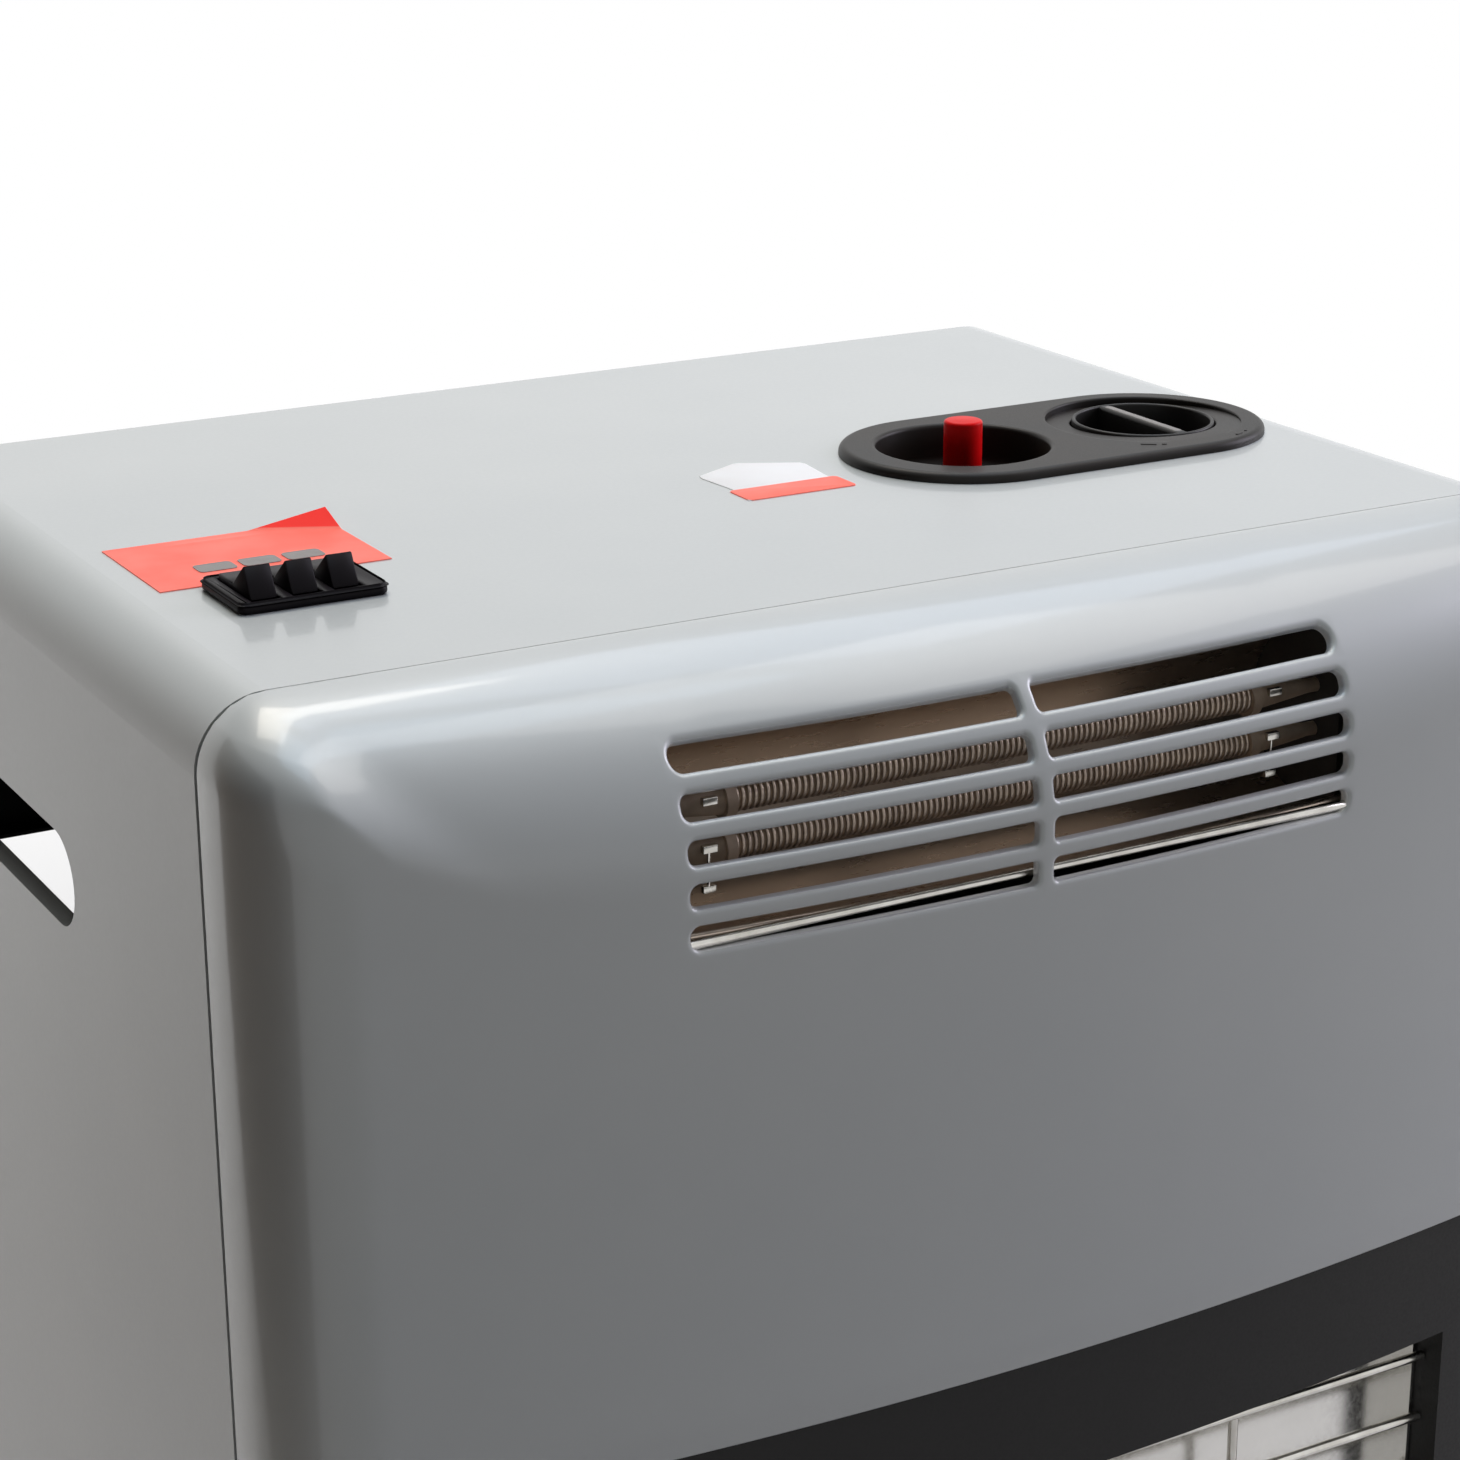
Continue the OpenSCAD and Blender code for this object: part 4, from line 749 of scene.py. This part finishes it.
    def foot(self, skirt):
        """Lower edge, rolled in."""
        rows = [[row[0] for row in reversed(skirt[:-1])]
                + [self.face(x, self.zs[-1]) for x in self.xs[1:-1]] + [row[-1] for row in skirt[:-1]]]
        for drop, inset in ((0.7 * FOOT_R, 0.3 * FOOT_R), (FOOT_R, FOOT_R), (FOOT_R, 9.0)):
            line = []
            for number in rows[0]:
                p = Vector(self.points[number])
                n = self.shape.normal(p)
                n.z = 0
                n = n.normalized() if n.length > 0.1 else Vector((math.copysign(1, p.x), 0, 0))
                y = min(p.y - n.y * inset, self.shape.back)
                line.append((p.x - n.x * inset, y, self.low_z - drop))
            rows.append(self.row(line))
        self.faces += quads(rows)


class HEATER_OT_front_cover(bpy.types.Operator):
    """Pressed front cover with rolled rims round its slots"""
    bl_idname = "heater.front_cover"
    bl_label = "Front cover"

    def execute(self, context):
        skin = CoverSkin()
        skin.plain()
        rims = skin.slots()
        skin.foot(skin.skirt())
        piece("front_cover_sheet", (skin.points, skin.faces), "cabinet", "silver_lacquer", smooth=50.0,
              replaces=("front_cover",), mend=True, wall=SHEET)
        # The walls of the slots take a lighter lacquer, as a painted highlight
        piece("slot_rims", (rims.points, rims.faces), "cabinet", "silver_lacquer", "rim_highlight_lacquer", 50.0,
              wall=SHEET)
        return {"FINISHED"}


class HEATER_OT_elements(bpy.types.Operator):
    """Windings of heating wire, their terminals and the bright lip of the reflector"""
    bl_idname = "heater.elements"
    bl_label = "Electric elements"

    def execute(self, context):
        s = sizes()
        tree, given, leave = new_tree(
            "winding", Length=0.16, Pitch=s.winding_pitch, Radius=0.004, Wire=s.wire,
            Place=(0.0, 0.0, 0.0), Material=None)
        turns = add(tree, "ShaderNodeMath", {0: given["Length"], 1: given["Pitch"]}, operation="DIVIDE")
        spiral = add(tree, "GeometryNodeCurveSpiral", {
            "Resolution": 14, "Rotations": turns.outputs[0], "Start Radius": given["Radius"],
            "End Radius": given["Radius"], "Height": given["Length"]})
        laid = add(tree, "GeometryNodeTransform", {
            "Geometry": spiral.outputs[0], "Translation": given["Place"],
            "Rotation": (0, math.pi / 2, 0)})
        half = add(tree, "ShaderNodeMath", {0: given["Wire"], 1: 0.5}, operation="MULTIPLY")
        section = add(tree, "GeometryNodeCurvePrimitiveCircle", {
            "Resolution": 7, "Radius": half.outputs[0]})
        skin = add(tree, "GeometryNodeCurveToMesh", {
            "Curve": laid.outputs[0], "Profile Curve": section.outputs[0], "Fill Caps": True})
        smooth = add(tree, "GeometryNodeSetShadeSmooth", {"Geometry": skin.outputs[0]})
        leave_with(tree, leave, smooth.outputs[0], given["Material"])
        y = SEAM_Y - ELEMENT_SET
        front = y - ROD_R
        # The wire lies in a shallow thread of the rod
        radius = ROD_R * MM + s.wire * 0.2
        for name, z in (("upper", TOP_Z - ELEMENT_DROP), ("lower", TOP_Z - ELEMENT_DROP - ELEMENT_GAP)):
            mesh = grown(tree, Length=2 * ELEMENT_HALF * MM, Pitch=s.winding_pitch, Radius=radius,
                         Wire=s.wire, Place=(-ELEMENT_HALF * MM, y * MM, z * MM),
                         Material=MATERIALS["heating_wire"])
            piece("heating_winding_" + name, mesh, "cabinet", "heating_wire", smooth=180,
                  replaces=("heating_coil_" + name,))
            # A bright tab let into the rod, and the lead that hangs from the lower one
            ends = []
            for x in (-ELEMENT_HALF - TAB_OUT, ELEMENT_HALF + TAB_OUT):
                ends.append(slab(round_plan(x - 2.1, x + 2.1, front - 1.3, front + 0.5, 0.3),
                                 z + 0.8, z + 2.7, 0.15))
                if name == "lower":
                    ends.append(bar([(x, front - 0.2, z + 1.0), (x, front + 0.2, z - 9.0)], 0.35, 8, 0.1))
                    ends.append(slab(round_plan(x - 1.9, x + 1.9, front - 0.8, front + 0.8, 0.3),
                                     z - 10.1, z - 8.4, 0.15))
            piece("terminal_tabs_" + name, joined(*ends), "cabinet", "bright_steel")
        lip = bar([(k * LIP_HALF / 10, SEAM_Y - LIP_SET, TOP_Z - LIP_DROP) for k in range(-10, 11)],
                  LIP_R, 14, 0.4)
        piece("reflector_lip", lip, "cabinet", "bright_steel")
        return {"FINISHED"}


class HEATER_OT_plaques(bpy.types.Operator):
    """Three perforated ceramic plaques of the gas burner"""
    bl_idname = "heater.plaques"
    bl_label = "Burner plaques"

    def execute(self, context):
        low, high = box_mm("burner_plaques")
        wide = (high[0] - low[0] - 2 * PLAQUE_GAP) / 3
        tall = high[2] - low[2]
        across = round(wide / PLAQUE_PITCH)
        upright = round(tall / PLAQUE_PITCH)
        cell_x, cell_z = wide / across, tall / upright
        # One cell: a small plate with a tapering blind hole
        hole = 0.33 * min(cell_x, cell_z)
        square = [(1, 0), (1, 1), (0, 1), (-1, 1), (-1, 0), (-1, -1), (0, -1), (1, -1)]
        points = [(u * cell_x / 2, 0.0, v * cell_z / 2) for u, v in square]
        for r, depth in ((hole, 0.0), (hole * 0.8, HOLE_DEPTH)):
            points += [(x, depth, z) for x, z in arc(0.0, 0.0, r, 0, 360, 8)[:8]]
        rows = [list(range(8)), list(range(8, 16)), list(range(16, 24))]
        cell = mesh_of("plaque_cell", points, quads(rows, True) + [tuple(rows[-1])])
        tree, given, leave = new_tree(
            "perforated plaque", Width=0.1, Height=0.1, Columns=10, Rows=10, Place=(0.0, 0.0, 0.0),
            Material=None)
        field = add(tree, "GeometryNodeMeshGrid", {
            "Size X": given["Width"], "Size Y": given["Height"], "Vertices X": given["Columns"],
            "Vertices Y": given["Rows"]})
        stood = add(tree, "GeometryNodeTransform", {
            "Geometry": field.outputs[0], "Translation": given["Place"], "Rotation": (math.pi / 2, 0, 0)})
        copies = add(tree, "GeometryNodeInstanceOnPoints", {
            "Points": stood.outputs[0], "Instance": given["Geometry"]})
        leave_with(tree, leave, copies.outputs[0], given["Material"])
        work = bmesh.new()
        for i in range(3):
            x0 = low[0] + i * (wide + PLAQUE_GAP)
            face = grown(tree, cell.copy(), Width=(wide - cell_x) * MM, Height=(tall - cell_z) * MM,
                         Columns=across, Rows=upright,
                         Place=((x0 + wide / 2) * MM, low[1] * MM, (low[2] + tall / 2) * MM),
                         Material=MATERIALS["plaque_ceramic"])
            work.from_mesh(face)
            # Sides and back, with the cells' own points along the front
            rim = [(x0 + cell_x / 2 * k, low[2]) for k in range(2 * across)]
            rim += [(x0 + wide, low[2] + cell_z / 2 * k) for k in range(2 * upright)]
            rim += [(x0 + wide - cell_x / 2 * k, high[2]) for k in range(2 * across)]
            rim += [(x0, high[2] - cell_z / 2 * k) for k in range(2 * upright)]
            front = [work.verts.new((x * MM, low[1] * MM, z * MM)) for x, z in rim]
            back = [work.verts.new((x * MM, high[1] * MM, z * MM)) for x, z in rim]
            for k in range(len(rim)):
                j = (k + 1) % len(rim)
                work.faces.new((front[k], front[j], back[j], back[k]))
            work.faces.new(back)
        bmesh.ops.remove_doubles(work, verts=work.verts, dist=1e-5)
        bmesh.ops.recalc_face_normals(work, faces=work.faces)
        mesh = bpy.data.meshes.new("ceramic_plaques")
        work.to_mesh(mesh)
        work.free()
        piece("ceramic_plaques", mesh, "cabinet", "plaque_ceramic", smooth=30.0,
              replaces=("burner_plaques",))
        return {"FINISHED"}


class HEATER_OT_film(bpy.types.Operator):
    """Red protective film with a peeled corner, and the label"""
    bl_idname = "heater.film"
    bl_label = "Film and label"

    def execute(self, context):
        low, high = box_mm("red_film")
        x0, x1, y0, y1 = low[0], high[0], low[1], high[1]
        # Crease of the corner that has come off: points along the rear and the right edge
        a, b = Vector((x1 - 24.0, y1)), Vector((x1, y1 - 11.5))
        along = (b - a).normalized()
        out = Vector((-along.y, along.x))
        if (Vector((x1, y1)) - a).dot(out) < 0:
            out = -out
        nx, ny = 100, 74
        rows = []
        for j in range(ny + 1):
            row = []
            for i in range(nx + 1):
                x, y = x0 + (x1 - x0) * i / nx, y0 + (y1 - y0) * j / ny
                # The loose corner rises, and so reaches a little less far
                off = max(0.0, (Vector((x, y)) - a).dot(out))
                x, y = x - out.x * off * 0.08, y - out.y * off * 0.08
                # A long soft wrinkle near the rear edge
                wrinkle = 0.22 * math.exp(-((y - y1 + 4.5 + 0.02 * (x - x0)) / 1.3) ** 2)
                wrinkle *= max(0.0, math.sin(math.pi * min(1.0, max(0.0, (x - x0 - 14) / 34))))
                row.append((x, y, TOP_Z + 0.08 + 0.4 * off + wrinkle))
            rows.append(row)
        thick = 0.18
        grid = Grid()
        top = [grid.row((x, y, z + thick) for x, y, z in row) for row in rows]
        under = [grid.row(row) for row in rows]
        grid.faces += quads(top) + [f[::-1] for f in quads(under)]
        around = ([(0, i) for i in range(nx)] + [(j, nx) for j in range(ny)]
                  + [(ny, i) for i in range(nx, 0, -1)] + [(j, 0) for j in range(ny, 0, -1)])
        grid.faces += quads([[line[j][i] for j, i in around] for line in (top, under)], True)
        piece("protective_film", (grid.points, grid.faces), "cabinet", "film_red", smooth=60.0,
              replaces=("red_film",))
        low, high = box_mm("blank_label")
        # House-shaped outline, as shares of the label's width and depth
        corners = [(0.0, 0.0), (0.96, 0.0), (0.94, 0.28), (1.0, 0.74), (0.98, 0.79), (0.53, 1.0),
                   (0.47, 1.0), (0.04, 0.8), (0.02, 0.74), (0.06, 0.33)]
        mid = Vector(((low[0] + high[0]) / 2, (low[1] + high[1]) / 2))

        def outline(inset):
            ring = [Vector((low[0] + u * (high[0] - low[0]), low[1] + v * (high[1] - low[1])))
                    for u, v in corners]
            return [tuple(p + (mid - p).normalized() * inset) for p in ring]

        label = slab(outline, TOP_Z, TOP_Z + 0.2, 0.08)
        piece("paper_label", label, "cabinet", "label_white", replaces=("blank_label",))
        band = slab(round_plan(low[0] + 0.2, high[0] + 0.2, low[1] - 0.2, low[1] + 12.6, 1.6),
                    TOP_Z + 0.05, TOP_Z + 0.26, 0.05)
        piece("label_band", band, "cabinet", "film_red")
        return {"FINISHED"}


class HEATER_OT_controls(bpy.types.Operator):
    """Rounded edges of the switch, the control panel, its knob and its button"""
    bl_idname = "heater.controls"
    bl_label = "Switches and controls"

    def execute(self, context):
        eased("switch_frame", 0.9, segments=4, material="rocker_plastic")
        for i in (1, 2, 3):
            eased("rocker_%d" % i, 0.5, "rocker_%d" % i)
        self.panel()
        self.knob()
        self.button()
        return {"FINISHED"}

    def panel(self):
        """Long moulded panel with a dish, and a sloping seat round the knob."""
        top = BEZEL_HIGH[2]
        skirt = (BEZEL_HIGH[1] - BEZEL_LOW[1]) / 2
        left, right = BEZEL_LOW[0] + skirt, BEZEL_HIGH[0] - skirt
        turns = [math.pi * k / 40 for k in range(41)]

        def outline(inset):
            r = skirt - inset
            ring = [(right + r * math.sin(t), CONTROL_Y + r * math.cos(t)) for t in turns]
            return ring + [(left - r * math.sin(t), CONTROL_Y - r * math.cos(t)) for t in turns]

        grid = Grid()
        ease = 2.2
        steps = [(0.0, TOP_Z)]
        steps += [(ease * (1 - math.cos(a)), top - ease + ease * math.sin(a))
                  for a in (math.pi / 2 * k / 6 for k in range(7))]
        steps.append((ease + 0.4, top))
        rows = [grid.row((x, y, height) for x, y in outline(inset)) for inset, height in steps]
        grid.faces += quads(rows, True)
        around = 96

        def circle(cx, radius_height):
            line = [(a, *radius_height(a)) for a in (2 * math.pi * i / around for i in range(around))]
            return grid.row((cx + r * math.cos(a), CONTROL_Y + r * math.sin(a), z) for a, r, z in line)

        # Dish with a rolled lip and a round foot
        lip = 1.3
        dish = [(DISH_R + lip + 0.4, top)] + arc(DISH_R + lip, top - lip, lip, 90, 180)
        dish += [(DISH_R - 0.5, top - 7.0)] + arc(DISH_R - 5.5, TOP_Z - DISH_D + 5, 5, 0, -90, 6)
        dish += [(BUTTON_R + 2.4, TOP_Z - DISH_D), (BUTTON_R + 1.4, TOP_Z - DISH_D)]
        dish += arc(BUTTON_R + 1.4, TOP_Z - DISH_D - 0.9, 0.9, 90, 180, 3)
        dish.append((BUTTON_R + 0.4, TOP_Z - DISH_D - 2.4))
        dish_lines = [circle(left, lambda a, rz=rz: rz) for rz in dish]
        grid.faces += quads(dish_lines, True)

        # Seat that falls to the rear, and the well of the knob
        def seat(a, r):
            drop = (r * math.sin(a) + SEAT_R) * math.tan(math.radians(SEAT_TILT)) - 0.1
            return top - max(0.0, drop)

        def step(a):
            return min(0.7, (top - seat(a, SEAT_R)) * 0.5)

        well = KNOB_R + 0.4
        quarter = [math.pi / 2 * k / 4 for k in range(5)]
        shape = [lambda a: (SEAT_R + 1.2, top)]
        shape += [lambda a, q=q: (SEAT_R + step(a) * (1 - math.sin(q)), top - step(a) * (1 - math.cos(q)))
                  for q in quarter]
        shape.append(lambda a: (SEAT_R - 0.02, seat(a, SEAT_R)))
        shape += [lambda a, r=r: (r, seat(a, r)) for r in (SEAT_R - 0.6, (SEAT_R + well) / 2, well + 1.2)]
        shape += [lambda a, q=q: (well + 0.8 * (1 - math.sin(q)), seat(a, well) - 0.8 * (1 - math.cos(q)))
                  for q in quarter]
        shape += [lambda a: (well, TOP_Z - 19.0), lambda a: (5.2, TOP_Z - 19.2)]
        seat_lines = [circle(right, at) for at in shape]
        grid.faces += quads(seat_lines, True)
        # Flat top between the outline and the two rounds
        loops = [rows[-1], dish_lines[0], seat_lines[0]]
        numbers = [k for loop in loops for k in loop]
        flat = [Vector(grid.points[k][:2]) for k in numbers]
        edges, first = [], 0
        for loop in loops:
            m = len(loop)
            edges += [(first + i, first + (i + 1) % m) for i in range(m)]
            first += m
        out = delaunay_2d_cdt(flat, edges, [], 0, 1e-6)
        holes = ((left, DISH_R + lip + 0.38), (right, SEAT_R + 1.18))
        for face in out[2]:
            middle = sum((out[0][k] for k in face), Vector((0, 0))) / len(face)
            if all((middle - Vector((x, CONTROL_Y))).length >= r for x, r in holes):
                grid.faces.append(tuple(numbers[out[3][k][0]] for k in face))
        piece("control_panel_moulding", (grid.points, grid.faces), "cabinet", "bezel_plastic",
              smooth=50.0, replaces=("control_bezel",), mend=True, wall=1.3)
        # Small raised marks round the knob
        marks = []
        mark_r = 34.6
        for degrees, w, long in ((-123, 1.0, 5.0), (-115, 0.8, 1.6), (-66, 1.0, 3.6), (-58, 0.8, 1.4)):
            cos, sin = math.cos(math.radians(degrees)), math.sin(math.radians(degrees))
            points, faces = slab(round_plan(-long / 2, long / 2, -w / 2, w / 2, 0.35, 3),
                                 top - 0.2, top + 0.2, 0.15)
            points = [(right + cos * (mark_r + y) - sin * x, CONTROL_Y + sin * (mark_r + y) + cos * x, z)
                      for x, y, z in points]
            marks.append((points, faces))
        piece("knob_marks", joined(*marks), "cabinet", "bezel_plastic")

    def knob(self):
        """Round knob with two finger wells and a grip bar."""
        top, low = KNOB_HIGH[2], KNOB_LOW[2]
        inner = KNOB_R - 1.3
        floor = top - 14.0
        profile = [(0.0, floor), (inner - 2.0, floor)] + arc(inner - 2.0, floor + 2.0, 2.0, -90, 0)
        profile += arc(KNOB_R - 0.65, top - 0.65, 0.65, 180, 0, 8)
        profile += [(KNOB_R, low + 0.5), (KNOB_R - 0.5, low), (0.0, low)]
        reach = inner + 0.3
        grip = slab(round_plan(KNOB_X - 2.2, KNOB_X + 2.2, CONTROL_Y - reach, CONTROL_Y + reach, 0.6),
                    floor - 0.5, top, 1.2, 5)
        piece("knob_moulding", joined(lathe(profile, KNOB_X, CONTROL_Y, 80), grip), "gas_knob",
              "knob_plastic", smooth=50.0, replaces=("gas_knob",), mend=True)
        # Lighter grey strip along the top of the grip bar: a painted highlight where the bar catches the
        # light, in the grey print finish
        strip = slab(round_plan(KNOB_X - 1.35, KNOB_X + 1.35, CONTROL_Y - 19.5, CONTROL_Y + 19.5, 1.2),
                     top - 0.6, top + 0.12, 0.3)
        piece("knob_grip_highlight", strip, "gas_knob", "mark_grey")

    def button(self):
        """Round push button with an eased, slightly domed end."""
        low, high = box_mm("igniter_button")
        x, y = (low[0] + high[0]) / 2, (low[1] + high[1]) / 2
        top = high[2]
        profile = [(0.0, top), (2.5, top - 0.05), (BUTTON_R - 1.0, top - 0.22)]
        profile += arc(BUTTON_R - 0.9, top - 1.12, 0.9, 80, 0)
        profile += [(BUTTON_R, low[2] + 0.5), (BUTTON_R - 0.5, low[2]), (0.0, low[2])]
        piece("button_moulding", lathe(profile, x, y, 48), "igniter_button", "button_red", smooth=50.0,
              replaces=("igniter_button",), mend=True)


class HEATER_OT_finishes(bpy.types.Operator):
    """Finishes of all the solids"""
    bl_idname = "heater.finishes"
    bl_label = "Finishes"

    def execute(self, context):
        MATERIALS.update(make_materials())
        for node, slot in SLOTS.items():
            paint(node, slot)
        paint("burner_reflector", "burner_sheet")
        return {"FINISHED"}


# Lamps: name, place, aim, size in metres, power in watts, tint
LAMPS = (
    ("front fill", (-0.1, -2.4, 0.75), (0.0, 0.0, 0.3), (1.6, 0.5), 0.5, (1.0, 1.0, 1.0)),
    ("overhead front left", (0.1, -0.15, 2.6), (-0.3, -0.6, 0.7), (0.9, 1.2), 7.2, (0.6, 0.8, 1.0)),
    ("overhead front right", (1.15, -0.15, 2.6), (0.7, -0.6, 0.7), (1.2, 1.2), 11.0, (1.0, 0.96, 0.92)),
    ("overhead rear left", (0.1, 1.05, 2.6), (-0.3, 0.6, 0.7), (0.9, 1.2), 19.0, (1.0, 0.93, 0.82)),
    ("overhead rear right", (1.15, 1.05, 2.6), (0.7, 0.6, 0.7), (1.2, 1.2), 8.2, (0.7, 0.82, 1.0)),
    ("right softbox", (2.4, -0.5, 1.6), (0.0, 0.0, 0.5), (1.4, 1.4), 34.0, (0.88, 0.84, 1.0)),
)

# Camera: focal length in mm, its turn to the right, down and about its axis in degrees, and its place
# in mm from the middle of the seam in the top panel
LENS, CAMERA_TURN, CAMERA_PLACE = 80.88, (29.137, 18.621, -0.2435), (-459.87, -713.35, 243.33)


class HEATER_OT_stage(bpy.types.Operator):
    """Pale floor, soft light and the camera"""
    bl_idname = "heater.stage"
    bl_label = "Stage"

    def execute(self, context):
        scene = context.scene
        scene.view_settings.view_transform = "Standard"
        self.floor()
        self.card()
        self.surroundings(scene)
        for name, place, aim, size, power, tint in LAMPS:
            light = bpy.data.lights.new(name, "AREA")
            light.shape = "RECTANGLE"
            light.size, light.size_y = size
            light.energy = power
            light.color = tint
            lamp = linked(name, light)
            lamp.location = place
            lamp.rotation_euler = (Vector(aim) - Vector(place)).to_track_quat("-Z", "Y").to_euler()
        lens = bpy.data.cameras.new("camera")
        lens.sensor_width = 36.0
        lens.lens = LENS
        scene.camera = linked("camera", lens)
        yaw, pitch, roll = (math.radians(v) for v in CAMERA_TURN)
        level = math.cos(pitch)
        ahead = Vector((math.sin(yaw) * level, math.cos(yaw) * level, -math.sin(pitch)))
        right = Vector((math.cos(yaw), -math.sin(yaw), 0))
        turn = Matrix((right, right.cross(ahead), -ahead)).transposed() @ Matrix.Rotation(roll, 3, "Z")
        place = (Vector((0.0, SEAM_Y, TOP_Z)) + Vector(CAMERA_PLACE)) * MM
        scene.camera.matrix_world = Matrix.Translation(place) @ turn.to_4x4()
        return {"FINISHED"}

    def floor(self):
        """Floor disc of 2.4 m that fades into the white surroundings."""
        mat, tree, place = new_material("pale studio floor")
        tone = clouds(tree, place, 300, colours().floor, "f2f0ee", 3.0)[1]
        body = add(tree, "ShaderNodeBsdfPrincipled", {
            "Base Color": tone, "Roughness": 0.7, "Emission Color": (1, 1, 1, 1),
            "Emission Strength": 0.04})
        reach = add(tree, "ShaderNodeVectorMath", {0: place}, operation="LENGTH")
        fade = add(tree, "ShaderNodeMapRange", {
            "Value": reach.outputs["Value"], "From Min": 0.7, "From Max": 2.1, "To Min": 0.25,
            "To Max": 1.0}, interpolation_type="SMOOTHSTEP")
        clear = add(tree, "ShaderNodeBsdfTransparent")
        both = add(tree, "ShaderNodeMixShader", {
            0: fade.outputs[0], 1: body.outputs[0], 2: clear.outputs[0]})
        add(tree, "ShaderNodeOutputMaterial", {"Surface": both.outputs[0]})
        disc = lathe([(2400.0, 0.0), (0.0, 0.0)], 0.0, 0.0, 96)
        floor = linked("studio_floor", mesh_of("studio_floor", *disc))
        floor.data.materials.append(mat)

    def card(self):
        """Warm grey card to the left, off the picture, that the side panel reflects."""
        corners = [(-950, -500, 0), (-950, 1300, 0), (-950, 1300, 1500), (-950, -500, 1500)]
        card = linked("studio_card", mesh_of("studio_card", corners, [(0, 3, 2, 1)]))
        card.data.materials.append(finish(
            "warm grey card", "6e6253", "66594b", (0.8, 0.9), 300, 30, 0.01))
        card.visible_camera = False
        card.visible_shadow = False

    def surroundings(self, scene):
        """White for the camera and for reflections, and dark as a light."""
        world = bpy.data.worlds.new("studio")
        scene.world = world
        world.use_nodes = True
        tree = world.node_tree
        tree.nodes.clear()
        path = add(tree, "ShaderNodeLightPath").outputs
        seen = path["Is Camera Ray"]
        for ray in ("Is Glossy Ray", "Is Transmission Ray"):
            seen = add(tree, "ShaderNodeMath", {0: seen, 1: path[ray]}, operation="MAXIMUM").outputs[0]
        strength = add(tree, "ShaderNodeMapRange", {"Value": seen, "To Min": 0.02, "To Max": 1.0})
        tone = add(tree, "ShaderNodeMix", {
            0: seen, 6: linear(colours().air), 7: (1, 1, 1, 1)}, data_type="RGBA")
        shine = add(tree, "ShaderNodeBackground", {
            "Color": tone.outputs[2], "Strength": strength.outputs[0]})
        add(tree, "ShaderNodeOutputWorld", {"Surface": shine.outputs[0]})


class HEATER_PT_panel(bpy.types.Panel):
    """Lists the pieces of the heater"""
    bl_label = "Cabinet gas heater"
    bl_idname = "HEATER_PT_panel"
    bl_space_type = "VIEW_3D"
    bl_region_type = "UI"
    bl_category = "Heater"

    def draw(self, context):
        for operator in OPERATORS:
            self.layout.operator(operator.bl_idname)
        for group in (context.scene.heater_sizes, context.scene.heater_colours):
            for key in group.__annotations__:
                self.layout.prop(group, key)


OPERATORS = (
    HEATER_OT_finishes,
    HEATER_OT_front_cover,
    HEATER_OT_elements,
    HEATER_OT_plaques,
    HEATER_OT_film,
    HEATER_OT_controls,
    HEATER_OT_stage,
)
CLASSES = (HeaterSizes, HeaterColours) + OPERATORS + (HEATER_PT_panel,)


def register():
    for kind in CLASSES:
        bpy.utils.register_class(kind)
    bpy.types.Scene.heater_sizes = bpy.props.PointerProperty(type=HeaterSizes)
    bpy.types.Scene.heater_colours = bpy.props.PointerProperty(type=HeaterColours)


def unregister():
    del bpy.types.Scene.heater_sizes
    del bpy.types.Scene.heater_colours
    for kind in reversed(CLASSES):
        bpy.utils.unregister_class(kind)


def main():
    register()
    for operator in OPERATORS:
        group, name = operator.bl_idname.split(".")
        getattr(getattr(bpy.ops, group), name)()


if __name__ == "__main__":
    main()
